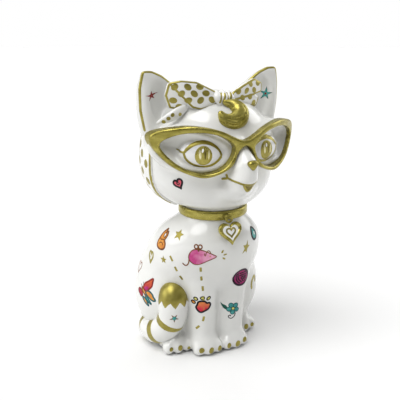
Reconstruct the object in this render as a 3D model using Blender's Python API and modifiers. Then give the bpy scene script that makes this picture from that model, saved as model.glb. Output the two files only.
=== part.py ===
"""Seated cat coin bank in glazed ceramic, with a rubber stopper in its base.

Frame: metres, +Z up. The bank stands on z = 0, the cat faces -Y, x = 0 is its plane of symmetry (the tail
and the scarf's loose end are on its right, the -X side), and the origin is the middle of its footprint box.
Lengths below are in millimetres and become metres in the helpers.
"""
import math

import bmesh
import bpy
from mathutils import Euler, Matrix, Vector

MM = 0.001

# Clearances
GAP = 0.3            # between neighbouring pieces
PROUD = 1.5          # how far the scarf stands off the head

# Stance; the ear tips come to 190 above the table
NECK_Y = -9.0        # centre of neck and collar
JOIN_Z = 99.0        # where the head sits on the body
COLLAR_Z = (96.3, 102.1)
COLLAR_R = (19.6, 22.8)

# Hollow inside
PASSAGE_R = 16.0     # hole through the neck
SLOT = (34.0, 5.0)   # coin slot, length and width
SLOT_Y = 20.0

# Base and stopper
BASE_Y = 16.0        # centre of the round opening in the base
OPENING_R = 22.5
FLOOR_Z = (6.5, 10.0)
HOLE_R = 16.5
PLUG_R = 16.2
FLANGE_R = 19.0
FLANGE_Z = (4.0, 6.2)
PLUG_TOP = 13.0
TAB_Z = (1.7, 3.7)
TAB_HINGE_Y = BASE_Y + 10.0
TAB_SIZE = (9.0, 15.0)

# The glasses lie on an upright face that falls back from the nose: y = FACE_Y + FACE_BEND * x * x
FACE_Y = -47.5
FACE_BEND = 0.0102
RIM_PROUD = 2.4      # how far the rim's front stands before that face
RIM_DEPTH = 6.5
RIM_SLAB = (116.0, 50.0, 143.0)   # width and height of the slab the rim is cut from, and its middle's height
RIM_CUTTER = 120.0   # thickness of the outline that cuts it

# Meshing: voxel size, smoothing passes
GRAIN = 1.7
SOFTEN = 6

WHITE = ("white_glaze", (0.86, 0.86, 0.84), 0.12, 0.0)
GOLD = ("gold_lustre", (0.42, 0.34, 0.08), 0.3, 0.7)
RUBBER = ("soft_rubber", (0.75, 0.76, 0.76), 0.6, 0.0)


# --- scene and materials -------------------------------------------------------------------------------

def clear_scene():
    for thing in list(bpy.data.objects):
        bpy.data.objects.remove(thing, do_unlink=True)


def collection(name):
    made = bpy.data.collections.new(name)
    bpy.context.scene.collection.children.link(made)
    return made


def material(name, colour, roughness, metallic):
    made = bpy.data.materials.get(name) or bpy.data.materials.new(name)
    made.use_nodes = True
    shader = made.node_tree.nodes["Principled BSDF"]
    shader.inputs["Base Color"].default_value = (*colour, 1.0)
    shader.inputs["Roughness"].default_value = roughness
    shader.inputs["Metallic"].default_value = metallic
    return made


# --- meshes --------------------------------------------------------------------------------------------

def add(name, mesh):
    made = bpy.data.objects.new(name, mesh)
    bpy.context.scene.collection.objects.link(made)
    return made


def from_bmesh(name, bm):
    bmesh.ops.recalc_face_normals(bm, faces=bm.faces)
    mesh = bpy.data.meshes.new(name)
    bm.to_mesh(mesh)
    bm.free()
    return add(name, mesh)


def settle(thing):
    """Turn an object's modifiers, or a curve, into a plain mesh in world space."""
    bpy.context.view_layer.update()
    seen = thing.evaluated_get(bpy.context.evaluated_depsgraph_get())
    mesh = bpy.data.meshes.new_from_object(seen)
    mesh.transform(thing.matrix_world)
    bm = bmesh.new()
    bm.from_mesh(mesh)
    bmesh.ops.remove_doubles(bm, verts=bm.verts, dist=0.001 * MM)
    bm.to_mesh(mesh)
    bm.free()
    name = thing.name
    bpy.data.objects.remove(thing, do_unlink=True)
    return add(name, mesh)


def carve(thing, tool, operation="DIFFERENCE"):
    """Cut thing with tool, then remove the tool."""
    boolean = thing.modifiers.new("carve", "BOOLEAN")
    boolean.operation = operation
    boolean.solver = "EXACT"
    boolean.object = tool
    cut = settle(thing)
    bpy.data.objects.remove(tool, do_unlink=True)
    return cut


def copy_of(thing, grow=0.0, grain=0.0):
    """A copy of thing, grown by so many millimetres along its normals, and meshed anew at the given grain."""
    twin = add(thing.name + "_copy", thing.data.copy())
    if grow:
        swell = twin.modifiers.new("swell", "DISPLACE")
        swell.strength = grow * MM
        swell.mid_level = 0.0
    if grain:
        remesh = twin.modifiers.new("fuse", "REMESH")
        remesh.mode = "VOXEL"
        remesh.voxel_size = grain * MM
    return settle(twin)


def seat(thing, *neighbours):
    """Cut thing back so that it rests against its neighbours with the usual gap."""
    for neighbour in neighbours:
        thing = carve(thing, copy_of(neighbour, GAP))
    return thing


# --- forms made of balls -------------------------------------------------------------------------------

def ball(centre, radii, turn=(0, 0, 0)):
    """One ellipsoid: centre, half sizes, and turns about X, Y, Z in degrees."""
    return [(centre, radii, turn)]


def both_sides(balls):
    mirrored = [((-c[0], c[1], c[2]), r, (t[0], -t[1], -t[2])) for c, r, t in balls]
    return balls + mirrored


def along(points, steps):
    """Points on a smooth curve through the given ones, any number of values each."""
    ends = [points[0]] + list(points) + [points[-1]]
    found = []
    for i in range(1, len(ends) - 2):
        for k in range(steps):
            t = k / steps
            found.append(tuple(
                0.5 * (2 * b + (c - a) * t + (2 * a - 5 * b + 4 * c - d) * t ** 2
                       + (3 * b - a - 3 * c + d) * t ** 3)
                for a, b, c, d in zip(*ends[i - 1:i + 3])))
    return found + [tuple(points[-1])]


def limb(points, steps=6, flat=1.0):
    """A tapering limb: points are x, y, z, radius; flat squeezes it along Y."""
    return [((x, y, z), (r, r * flat, r), (0, 0, 0)) for x, y, z, r in along(points, steps)]


def stack_rings(levels, steps=4, sides=40):
    """Level rings of an upright form; each level is height, front y, back y, half width."""
    rings = []
    for z, front, back, half in along(levels, steps):
        turns = [2 * math.pi * i / sides for i in range(sides)]
        middle, depth = (front + back) / 2, (back - front) / 2
        rings.append([Vector((half * math.cos(a), middle + depth * math.sin(a), z)) * MM for a in turns])
    return rings


def add_stack(bm, levels):
    """Skin an upright form over its level rings and close its two ends."""
    rings = [[bm.verts.new(p) for p in ring] for ring in stack_rings(levels)]
    for low, high in zip(rings, rings[1:]):
        for i in range(len(low)):
            j = (i + 1) % len(low)
            bm.faces.new((low[i], low[j], high[j], high[i]))
    bm.faces.new(rings[0][::-1])
    bm.faces.new(rings[-1])


def ball_mesh(name, balls, levels=None):
    bm = bmesh.new()
    if levels:
        add_stack(bm, levels)
    for centre, radii, turn in balls:
        place = Matrix.LocRotScale(Vector(centre) * MM, Euler([math.radians(a) for a in turn]),
                                   Vector(radii) * MM)
        bmesh.ops.create_uvsphere(bm, u_segments=24, v_segments=16, radius=1.0, matrix=place)
    return from_bmesh(name, bm)


def thin_out(thing, triangles):
    thin = thing.modifiers.new("thin", "DECIMATE")
    thin.ratio = min(1.0, triangles / (2 * len(thing.data.polygons)))
    return settle(thing)


def clay(name, balls, triangles, grain=GRAIN, soften=SOFTEN, levels=None):
    """Balls, and the upright form over the given levels, run together into one soft form."""
    lump = ball_mesh(name, balls, levels)
    remesh = lump.modifiers.new("fuse", "REMESH")
    remesh.mode = "VOXEL"
    remesh.voxel_size = grain * MM
    smooth = lump.modifiers.new("soften", "SMOOTH")
    smooth.factor = 0.5
    smooth.iterations = soften
    return thin_out(settle(lump), triangles)


def wrapped(name, balls, triangles):
    """The tight skin round a group of balls."""
    lump = ball_mesh(name, balls)
    bm = bmesh.new()
    bm.from_mesh(lump.data)
    bpy.data.objects.remove(lump, do_unlink=True)
    hull = bmesh.ops.convex_hull(bm, input=bm.verts)
    inside = [v for v in hull["geom_interior"] if isinstance(v, bmesh.types.BMVert)]
    bmesh.ops.delete(bm, geom=inside, context="VERTS")
    loose = [f for f in bm.faces if f not in set(hull["geom"])]
    bmesh.ops.delete(bm, geom=loose, context="FACES_ONLY")
    bmesh.ops.triangulate(bm, faces=bm.faces)
    return thin_out(from_bmesh(name, bm), 2 * triangles)


# --- plain forms ---------------------------------------------------------------------------------------

def box(name, low, high):
    bm = bmesh.new()
    size = [b - a for a, b in zip(low, high)]
    middle = [(a + b) / 2 for a, b in zip(low, high)]
    place = Matrix.LocRotScale(Vector(middle) * MM, None, Vector(size) * MM)
    bmesh.ops.create_cube(bm, size=1.0, matrix=place)
    return from_bmesh(name, bm)


def drum(name, centre, r, z, sides=48):
    """An upright cylinder between two heights."""
    bm = bmesh.new()
    place = Matrix.Translation(Vector((centre[0], centre[1], (z[0] + z[1]) / 2)) * MM)
    bmesh.ops.create_cone(bm, cap_ends=True, segments=sides, radius1=r * MM, radius2=r * MM,
                          depth=(z[1] - z[0]) * MM, matrix=place)
    return from_bmesh(name, bm)


def turned(name, profile, centre, sides=36):
    """A closed profile of (radius, height) points turned round an upright axis."""
    bm = bmesh.new()
    ring = [bm.verts.new((r * MM, 0, z * MM)) for r, z in profile]
    for a, b in zip(ring, ring[1:] + ring[:1]):
        if a.co.x > 0 or b.co.x > 0:
            bm.edges.new((a, b))
    mesh = bpy.data.meshes.new(name)
    bm.to_mesh(mesh)
    bm.free()
    thing = add(name, mesh)
    screw = thing.modifiers.new("turn", "SCREW")
    screw.axis = "Z"
    screw.steps = sides
    screw.render_steps = sides
    screw.use_merge_vertices = True
    screw.merge_threshold = 0.00001
    thing = settle(thing)
    thing.location = Vector((centre[0], centre[1], 0)) * MM
    thing = settle(thing)
    bm = bmesh.new()
    bm.from_mesh(thing.data)
    bmesh.ops.recalc_face_normals(bm, faces=bm.faces)
    bm.to_mesh(thing.data)
    bm.free()
    return thing


def plate(name, loops, thickness):
    """A flat outline, with any holes, as a plate in the XY plane with its middle at z = 0."""
    curve = bpy.data.curves.new(name, "CURVE")
    curve.dimensions = "2D"
    curve.fill_mode = "BOTH"
    curve.extrude = thickness / 2 * MM
    for loop in loops:
        spline = curve.splines.new("POLY")
        spline.points.add(len(loop) - 1)
        for point, (x, y) in zip(spline.points, loop):
            point.co = (x * MM, y * MM, 0, 1)
        spline.use_cyclic_u = True
    return settle(add(name, curve))


def smooth_loop(points, steps=2):
    """A closed smooth outline through the given points."""
    n = len(points)
    wrapped_points = [points[i % n] for i in range(-1, n + 2)]
    found = along(wrapped_points, steps)
    return found[steps:steps * (n + 1)]


def face_y(x):
    return FACE_Y + FACE_BEND * x * x


# --- body ----------------------------------------------------------------------------------------------

TORSO = [                # height, front y, back y, half width
    (0, -14, 46, 28),
    (10, -15, 54, 33),
    (24, -15.5, 58.5, 36),
    (38, -17, 58, 38.5),
    (52, -24.5, 53, 40),
    (65, -32, 46.5, 39.6),
    (76, -35.5, 38, 37),
    (84, -36, 29.5, 33),
    (90, -33.5, 20, 27.5),
    (96, -30.5, 12, 21.5),
    (104, -28, 10, 19.2),
]
HAUNCHES = both_sides(ball((23, 14, 36), (22.5, 26, 32)))
LEGS = both_sides(limb([(12, -12, 64, 12), (10.5, -13.5, 38, 9.6), (10.5, -13.5, 12, 9.0)]))
PAWS = both_sides(
    ball((10.5, -16.5, 6.5), (9.5, 10.5, 8.5))
    + [b for x in (4.5, 10.5, 16.5) for b in ball((x, -22.5, 4.5), (3.4, 4.6, 4.6))]
)
FEET = both_sides(
    ball((28, 2, 7), (9.5, 17, 9))
    + [b for x in (22, 28, 34) for b in ball((x, -11, 4.5), (3.4, 4.6, 4.6))]
)
CHAMBER = (
    ball((0, -2, 76), (28, 28, 19))
    + ball((0, 9, 56), (35, 31, 25))
    + ball((0, 21, 36), (33, 32, 26))
    + ball((0, 20, 17), (28, 27, 9))
)


def body_form():
    lump = clay("body_shell", HAUNCHES + LEGS + PAWS + FEET, 2300, levels=TORSO)
    lump = carve(lump, box("ground", (-80, -80, -20), (80, 80, 0)))
    return carve(lump, box("join", (-60, -60, JOIN_Z - GAP / 2), (60, 60, 140)))


def body_shell(form, collar):
    shell = seat(copy_of(form), collar)
    shell = carve(shell, clay("chamber", CHAMBER, 600, grain=3.0))
    shell = carve(shell, drum("passage", (0, NECK_Y), PASSAGE_R, (80, 120)))
    return carve(shell, drum("opening", (0, BASE_Y), OPENING_R, (-5, 16)))


def floor_disc():
    disc = drum("floor_disc", (0, BASE_Y), OPENING_R - GAP, FLOOR_Z)
    return carve(disc, drum("hole", (0, BASE_Y), HOLE_R, (0, 20)))


def stopper_plug():
    cup_r = PLUG_R - 2.6
    profile = [(0, FLANGE_Z[0]), (FLANGE_R - 0.6, FLANGE_Z[0]), (FLANGE_R, FLANGE_Z[0] + 0.6),
               (FLANGE_R, FLANGE_Z[1]), (PLUG_R, FLANGE_Z[1]), (PLUG_R, PLUG_TOP - 0.8),
               (PLUG_R - 0.8, PLUG_TOP), (cup_r, PLUG_TOP), (cup_r, FLANGE_Z[1] + 1.5),
               (0, FLANGE_Z[1] + 1.5)]
    return turned("stopper_plug", profile, (0, BASE_Y))


def stopper_tab():
    """A flat pull tab, round at its free end, lying under the flange."""
    half = TAB_SIZE[0] / 2
    length = TAB_SIZE[1]
    arc = [(-half * math.cos(a), -(length - half) - half * math.sin(a))
           for a in [math.pi * i / 12 for i in range(13)]]
    tab = plate("stopper_tab", [[(half, 0), (-half, 0)] + arc], TAB_Z[1] - TAB_Z[0])
    tab.location = Vector((0, TAB_HINGE_Y, sum(TAB_Z) / 2)) * MM
    return settle(tab)


def tail():
    """It lies round the right haunch from the rump and stands up in a fat tip by the front leg."""
    path = [(-4, 47.5, 14, 9.5), (-20, 41, 12, 9), (-29, 29, 10.5, 8.6), (-35.5, 14, 10.5, 8.4),
            (-36, 4, 12, 8.4), (-33.5, -4, 17, 8.6), (-31, -9, 26, 9.4), (-30.3, -10, 35, 10.2),
            (-30.3, -9.5, 41, 9.4), (-30.3, -9, 44, 7.2)]
    return clay("tail", limb(path), 760, soften=3)


# --- collar --------------------------------------------------------------------------------------------

def collar_band():
    inner, outer = COLLAR_R
    low, high = COLLAR_Z
    profile = [(inner, low), (outer - 1, low), (outer, low + 1), (outer, high - 1), (outer - 1, high),
               (inner, high)]
    return turned("collar_band", profile, (0, NECK_Y), sides=40)


def heart_outline(width, points=30):
    """A heart of the given width, its point down, about (0, 0)."""
    found = []
    for i in range(points):
        t = 2 * math.pi * i / points
        x = 16 * math.sin(t) ** 3
        y = 13 * math.cos(t) - 5 * math.cos(2 * t) - 2 * math.cos(3 * t) - math.cos(4 * t)
        found.append((x * width / 32, y * width / 32))
    return found


TAG_CENTRE = (-3.2, -37.6, 90.4)
TAG_LEAN = 72.0      # degrees from lying flat to the tag's slope


def heart_tag():
    tag = plate("heart_tag", [heart_outline(16.5)], 3.0)
    tag.rotation_euler = (math.radians(TAG_LEAN), 0, 0)
    tag.location = Vector(TAG_CENTRE) * MM
    return settle(tag)


def tag_bail():
    """The little ring that hangs the tag from the collar."""
    bpy.ops.mesh.primitive_torus_add(major_segments=16, minor_segments=6, major_radius=2.1 * MM,
                                     minor_radius=0.8 * MM, location=Vector((-2.4, -34.4, 98.2)) * MM,
                                     rotation=(math.radians(80), 0, 0))
    ring = bpy.context.object
    ring.name = "tag_bail"
    return settle(ring)


# --- head ----------------------------------------------------------------------------------------------

SKULL = [                # height, front y, back y, half width
    (96, -28.2, 10.2, 19.2),
    (102, -29, 12, 20),
    (105, -34, 20, 27),
    (110, -38.5, 28, 35),
    (116, -41, 34, 40),
    (123, -42, 39, 42.6),
    (132, -42, 41.8, 43.2),
    (142, -41.5, 42, 42.4),
    (152, -39.5, 39.5, 39.5),
    (160, -36, 34.5, 35),
    (166, -31, 28, 29.5),
    (170.5, -24.5, 20.5, 22.5),
    (173.4, -14, 10, 12),
    (174, -4, 1, 2),
]
FACE = (
    both_sides(ball((27, -28, 143.5), (26, 13.5, 14.5), (0, -8, 27)))   # brow and cheek behind the glasses
    + both_sides(ball((3.4, -44.5, 129.2), (7.4, 12.3, 8.8)))          # muzzle
    + limb([(0, -41, 146, 4.5), (0, -46, 141, 5.2), (0, -50.5, 135.5, 5.6)])  # bridge of the nose
    + ball((0, -41, 118), (8, 8.5, 5.5))                              # lower lip
)
HEAD_ROOM = (
    ball((0, 1, 140), (38, 36, 28))
    + ball((0, -2, 122), (36, 28, 13.5))
)
LENS = (25.5, -49, 143)      # middle and half sizes of the hollow behind each lens
LENS_RADII = (19, 12, 11.5)


def head_form():
    lump = clay("head_shell", FACE, 2400, levels=SKULL)
    lump = carve(lump, box("join", (-60, -60, 60), (60, 60, JOIN_Z + GAP / 2)))
    for side in (-1, 1):
        bowl = ball((side * LENS[0], LENS[1], LENS[2]), LENS_RADII, (0, -side * 9, 0))
        lump = carve(lump, ball_mesh("bowl", bowl))
    return lump


def head_shell(form, collar):
    shell = seat(copy_of(form), collar)
    shell = carve(shell, clay("room", HEAD_ROOM, 500, grain=3.0))
    shell = carve(shell, drum("passage", (0, NECK_Y), PASSAGE_R, (90, 118)))
    return carve(shell, box("slot", (-SLOT[0] / 2, SLOT_Y - SLOT[1] / 2, 150),
                            (SLOT[0] / 2, SLOT_Y + SLOT[1] / 2, 190)))


def ear(name, side):
    """A tall leaf, wide at its foot, dished on the front."""
    tip, outer, inner = (44.5, -6, 187.2), (43, -3.5, 153), (17, -2, 166)
    leaf = (ball(tip, (2.8, 2.8, 2.8)) + ball((47.2, -5, 178), (3.2, 4, 5)) + ball((46, -4, 166), (4, 5.5, 5))
            + ball(outer, (4.5, 7, 5)) + ball(inner, (5, 6.5, 5)) + ball((33, -5, 182.5), (2.6, 3.2, 3))
            + ball((30, -2, 158), (8, 8, 5)))
    dish = ball((33, -17.5, 167), (11, 14, 19), (0, 16, 0))
    leaf = [((side * c[0], c[1], c[2]), r, t) for c, r, t in leaf]
    dish = [((side * c[0], c[1], c[2]), r, (t[0], side * t[1], t[2])) for c, r, t in dish]
    return carve(wrapped(name, leaf, 320), ball_mesh("dish", dish))


def nose():
    corners = both_sides(ball((2.2, -57, 138.2), (1.6, 2.2, 1.5)))
    point = ball((0, -57.2, 134.6), (1.6, 2, 1.4))
    return wrapped("nose", corners + point, 80)


def eye(name, side):
    dome = ball((side * 22.5, -36.2, 141.5), (11.5, 5.4, 8.6), (0, -side * 6, side * 24))
    return clay(name, dome, 160, grain=1.2, soften=2)


GLASSES_RIM = [(0, 150), (8, 152.8), (14, 155.8), (22, 158.2), (31, 159.2), (40, 158), (47.5, 156),
               (51, 152.6), (50, 147), (46, 140.6), (40, 134.5), (32, 129.8), (23.5, 127.8), (15.5, 130.2),
               (9.8, 135.8), (6.4, 143), (0, 146.8)]
GLASSES_LENS = [(6.8, 145.8), (11, 150.4), (18, 153.9), (27, 155.3), (36, 154.4), (43.5, 151.2),
                (46.2, 147.6), (44, 142.8), (38.6, 137), (32, 133), (23.8, 130.9), (14.6, 133.4), (9, 139)]


def glasses_frame(form):
    """Flat outline cut out of a slab that is bent to the face, then set on the head."""
    rim = smooth_loop(GLASSES_RIM + [(-x, z) for x, z in GLASSES_RIM[-2:0:-1]])
    lenses = [smooth_loop([(side * x, z) for x, z in GLASSES_LENS]) for side in (-1, 1)]
    cutout = plate("glasses_frame", [rim] + lenses, RIM_CUTTER)
    cutout.rotation_euler = (math.radians(90), 0, 0)
    cutout = settle(cutout)

    bm = bmesh.new()
    width, height, middle = [value * MM for value in RIM_SLAB]
    upright = Matrix.Rotation(math.radians(90), 4, "X")
    place = Matrix.Translation((0, 0, middle)) @ upright @ Matrix.Diagonal((width, height, 1, 1))
    bmesh.ops.create_grid(bm, x_segments=20, y_segments=2, size=0.5, matrix=place)
    for vert in bm.verts:
        vert.co.y = (face_y(vert.co.x / MM) - RIM_PROUD) * MM
    slab = from_bmesh("slab", bm)
    thicken = slab.modifiers.new("thicken", "SOLIDIFY")
    thicken.thickness = RIM_DEPTH * MM
    thicken.offset = 1.0 if slab.data.polygons[0].normal.y > 0 else -1.0
    frame = carve(cutout, settle(slab), "INTERSECT")
    return seat(frame, form)


# --- scarf, bow and curl ---------------------------------------------------------------------------------

def scarf_band(form, ears):
    """A band that lies on the head from nape to crown, passing behind the ears."""
    band = thin_out(copy_of(form, PROUD, GRAIN), 1500)
    band.name = "scarf_band"
    band = carve(band, box("width", (-70, -8, 70), (70, 14, 200)), "INTERSECT")
    band = carve(band, box("behind_ears", (-70, -30, 151), (70, 4.5, 200)))
    band = carve(band, box("open_neck", (-25, -50, 60), (25, 50, 108)))
    return seat(band, form, *ears)


def bow_loop(name, side):
    reach = {-1: (34.5, 0.0), 1: (29.5, -1.0)}[side]
    x, lift = reach
    lobes = (ball((6, -23, 173.3), (2.6, 4, 3.2)) + ball((x, -16, 180.5 + lift), (3, 4.5, 3.2))
             + ball((x, -17, 170 + lift), (3, 4.5, 3)) + ball((x - 9, -19, 182 + lift), (3, 5, 2.6))
             + ball((x - 8, -19, 167.8), (3.5, 5.5, 2.8)))
    return wrapped(name, [((side * c[0], c[1], c[2]), r, t) for c, r, t in lobes], 260)


def bow_knot():
    path = [(-4.6, -24.5, 175, 4.2), (-1, -25.2, 173.8, 4.9), (3, -24.5, 172.6, 4.2)]
    return clay("bow_knot", limb(path), 200, grain=1.0, soften=3)


def scarf_end():
    path = [(-27, -19, 166.5, 2.8), (-33, -19.5, 163.6, 3.0), (-39, -18.5, 160.8, 2.2),
            (-42, -17, 159.4, 1.4)]
    return clay("scarf_end", limb(path), 140, grain=0.9, soften=2)


def forelock_curl():
    path = [(0.5, -29.5, 169.5, 2.6), (5, -32, 166.5, 4.6), (5.2, -34.6, 161.6, 5.6), (-1, -36, 158.8, 4.6),
            (-6.6, -35.6, 160.4, 3.4), (-9.2, -34.2, 164.4, 2.2)]
    return clay("forelock_curl", limb(path, flat=0.8), 320, grain=0.9, soften=2)


# --- assembly ------------------------------------------------------------------------------------------

def finish(piece, bank, look):
    """Name the piece, give it its material and put it in the bank's collection."""
    piece.name = piece.name.removesuffix("_copy")
    piece.data.name = piece.name
    piece.data.materials.clear()
    piece.data.materials.append(material(*look))
    piece.data.shade_smooth()
    piece.data.set_sharp_from_angle(angle=math.radians(35))
    bpy.context.scene.collection.objects.unlink(piece)
    bank.objects.link(piece)


def build():
    clear_scene()
    bank = collection("cat_coin_bank")

    body = body_form()
    head = head_form()
    collar = collar_band()
    ears = [ear("ear_right", -1), ear("ear_left", 1)]
    ears = [seat(e, head) for e in ears]
    knot = seat(bow_knot(), head)
    loops = [seat(bow_loop("bow_loop_right", -1), head, knot, ears[0]),
             seat(bow_loop("bow_loop_left", 1), head, knot, ears[1])]
    tag = seat(heart_tag(), body)
    white = [
        body_shell(body, collar),
        floor_disc(),
        seat(tail(), body),
        head_shell(head, collar),
        *ears,
        scarf_band(head, ears),
        *loops,
        knot,
        seat(scarf_end(), head, loops[0], ears[0]),
        seat(eye("eye_right", -1), head),
        seat(eye("eye_left", 1), head),
    ]
    gold = [
        collar,
        tag,
        seat(tag_bail(), tag, collar, body),
        seat(forelock_curl(), head, knot),
        glasses_frame(head),
        seat(nose(), head),
    ]
    rubber = [stopper_plug(), stopper_tab()]
    for form in (body, head):
        bpy.data.objects.remove(form, do_unlink=True)
    for pieces, look in ((white, WHITE), (gold, GOLD), (rubber, RUBBER)):
        for piece in pieces:
            finish(piece, bank, look)


build()
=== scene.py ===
"""Seated cat coin bank: fine ceramic surfaces, glaze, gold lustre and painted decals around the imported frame.

The bank stands on z = 0 and faces -Y. Lengths are in millimetres and become metres where meshes are made.
The cat's right side, with the tail and the scarf's loose end, is the -X side.
"""

import math

import bmesh
import bpy
import numpy as np
import openvdb
from mathutils import Euler, Matrix, Vector
from mathutils.bvhtree import BVHTree
from mathutils.geometry import convex_hull_2d, delaunay_2d_cdt


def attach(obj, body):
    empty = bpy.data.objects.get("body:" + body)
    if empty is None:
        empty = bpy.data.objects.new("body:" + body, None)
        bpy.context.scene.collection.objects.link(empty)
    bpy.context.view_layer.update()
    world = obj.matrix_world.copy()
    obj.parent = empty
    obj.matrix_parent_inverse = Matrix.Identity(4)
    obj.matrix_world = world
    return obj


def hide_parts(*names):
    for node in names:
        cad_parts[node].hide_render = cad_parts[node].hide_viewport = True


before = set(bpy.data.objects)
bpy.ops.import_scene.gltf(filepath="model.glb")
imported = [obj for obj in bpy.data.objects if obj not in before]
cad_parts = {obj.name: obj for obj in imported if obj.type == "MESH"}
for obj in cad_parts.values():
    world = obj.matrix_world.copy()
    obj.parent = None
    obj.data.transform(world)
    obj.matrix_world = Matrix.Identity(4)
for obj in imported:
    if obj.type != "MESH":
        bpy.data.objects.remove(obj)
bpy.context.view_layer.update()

MM = 0.001
FAR = 8.0              # how far from a surface the fields of distance reach
UP = Vector((0, 0, 1))
BACKWARDS = Vector((0, 1, 0))
AHEAD_Y = -120         # rays that look at the cat from straight ahead start here

NECK_Y = -9.0          # middle of neck and collar
JOIN_Z = 99.0          # where the head sits on the body, under the collar
PASSAGE_R = 16.0
PASSAGE_Z = (80, 118)  # how far the neck's passage reaches into body and head
SLOT = (34.0, 5.0)     # the coin slot's length and width
SLOT_Y = 20.0
SLOT_FLOOR = 150       # how deep it is cut
BASE_Y = 16.0          # middle of the round opening in the base
OPENING_R = 22.5
FACE_Y = -47.5         # the glasses lie on y = FACE_Y + FACE_BEND * x * x
FACE_BEND = 0.0102


# --- forms as distances --------------------------------------------------------------------------------

class Form:
    """A shape given by a function of points, and the box that holds it."""

    def __init__(self, distance, low, high):
        self.distance = distance
        self.low = np.array(low, float)
        self.high = np.array(high, float)


def ball(centre, radii, turn=(0, 0, 0)):
    """An ellipsoid: centre, half sizes, and turns about X, Y, Z in degrees."""
    middle = np.array(centre, np.float32)
    half = np.array(radii, np.float32)
    spin = np.array(Euler([math.radians(a) for a in turn]).to_matrix(), np.float32)

    def distance(points):
        local = (points - middle) @ spin + 1e-4
        near = np.linalg.norm(local / half, axis=-1)
        pull = np.linalg.norm(local / half ** 2, axis=-1)
        return near * (near - 1) / pull

    return Form(distance, middle - half.max(), middle + half.max())


def cone(a, b, flat=(1, 1, 1)):
    """A round cone between two points, each x, y, z, radius; flat scales its thickness along each axis."""
    start = np.array(a[:3], np.float32)
    axis = np.array(b[:3], np.float32) - start
    length = max(float(axis @ axis), 1e-9)
    squash = np.array(flat, np.float32)

    def distance(points):
        local = points - start
        share = np.clip(local @ axis / length, 0, 1)
        across = (local - share[..., None] * axis) / squash
        return np.linalg.norm(across, axis=-1) - (a[3] + share * (b[3] - a[3]))

    reach = max(a[3], b[3])
    ends = np.array([a[:3], b[:3]])
    return Form(distance, ends.min(0) - reach, ends.max(0) + reach)


def along(points, steps):
    """Points on a smooth curve through the given ones, any number of values each."""
    ends = [points[0]] + list(points) + [points[-1]]
    found = []
    for i in range(1, len(ends) - 2):
        for k in range(steps):
            t = k / steps
            found.append(tuple(
                0.5 * (2 * b + (c - a) * t + (2 * a - 5 * b + 4 * c - d) * t ** 2
                       + (3 * b - a - 3 * c + d) * t ** 3)
                for a, b, c, d in zip(*ends[i - 1:i + 3])))
    return found + [tuple(points[-1])]


def loop_through(points, steps):
    """A closed smooth outline through the given points."""
    n = len(points)
    around = [points[i % n] for i in range(-1, n + 2)]
    return along(around, steps)[steps:steps * (n + 1)]


def limb(points, steps=5, flat=(1, 1, 1)):
    """A tapering limb through points of x, y, z, radius."""
    path = along(points, steps)
    return [cone(a, b, flat) for a, b in zip(path, path[1:])]


def mirrored(form):
    flip = np.array((-1, 1, 1), np.float32)
    low, high = form.low * flip, form.high * flip
    return Form(lambda points: form.distance(points * flip), np.minimum(low, high), np.maximum(low, high))


def both_sides(forms):
    return forms + [mirrored(form) for form in forms]


def smooth_min(a, b, blend):
    """The nearer of two distances, run together over a width of blend."""
    if not blend:
        return np.minimum(a, b)
    overlap = np.maximum(blend - np.abs(a - b), 0) / blend
    return np.minimum(a, b) - overlap * overlap * blend / 4


def smooth_max(a, b, blend):
    return -smooth_min(-a, -b, blend)


class Clay:
    """A block of space on a fine lattice, where forms are run together and cut away."""

    def __init__(self, low, high, grain):
        self.grain = grain
        self.start = np.floor(np.array(low) / grain).astype(int)
        self.field = np.full(np.ceil(np.array(high) / grain).astype(int) - self.start + 1, FAR, np.float32)

    def window(self, form):
        low = np.floor((form.low - FAR) / self.grain).astype(int) - self.start
        high = np.ceil((form.high + FAR) / self.grain).astype(int) - self.start + 1
        return tuple(slice(max(a, 0), max(min(b, n), 0)) for a, b, n in zip(low, high, self.field.shape))

    def points(self, window=None):
        """The places of the lattice's points, or of those in a window of it."""
        window = window or tuple(slice(0, n) for n in self.field.shape)
        axes = [(np.arange(w.start, w.stop) + s) * self.grain for w, s in zip(window, self.start)]
        return np.stack(np.meshgrid(*axes, indexing="ij"), axis=-1).astype(np.float32)

    def together(self, forms, blend=0.0):
        """The distance to the nearest of some forms."""
        near = np.full(self.field.shape, FAR, np.float32)
        for form in forms:
            part = self.window(form)
            if all(w.stop > w.start for w in part):
                near[part] = smooth_min(near[part], form.distance(self.points(part)), blend)
        return near

    def skin(self, vertices, triangles):
        """The distance to a closed mesh."""
        places = openvdb.createLinearTransform(voxelSize=self.grain)
        level = openvdb.FloatGrid.createLevelSetFromPolygons(
            np.array(vertices, np.float32), triangles=np.array(triangles, np.uint32), transform=places,
            halfWidth=FAR / self.grain)
        near = np.empty(self.field.shape, np.float32)
        level.copyToArray(near, ijk=tuple(int(s) for s in self.start))
        return near

    def add(self, near, blend=0.0):
        self.field = smooth_min(self.field, near, blend)

    def cut(self, near, blend=0.0):
        self.field = smooth_max(self.field, -near, blend)

    def soften(self, passes):
        for _ in range(passes):
            for axis in range(3):
                f = self.field
                self.field = 0.5 * f + 0.25 * (np.roll(f, 1, axis) + np.roll(f, -1, axis))

    def mesh(self):
        """The surface as points and four-sided faces that look outwards."""
        band = 3 * self.grain
        level = openvdb.FloatGrid(background=band)
        level.copyFromArray(np.clip(self.field, -band, band))
        points, quads = level.convertToQuads(isovalue=0.0)
        return (points + self.start) * self.grain, quads.astype(int)


def joined(*meshes):
    """Several (points, faces) meshes as one; faces are lists of point numbers."""
    points, faces = [], []
    for more_points, more_faces in meshes:
        base = len(points)
        points += [tuple(p) for p in np.asarray(more_points, float).tolist()]
        faces += [[base + int(i) for i in face] for face in more_faces]
    return points, faces


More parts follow.
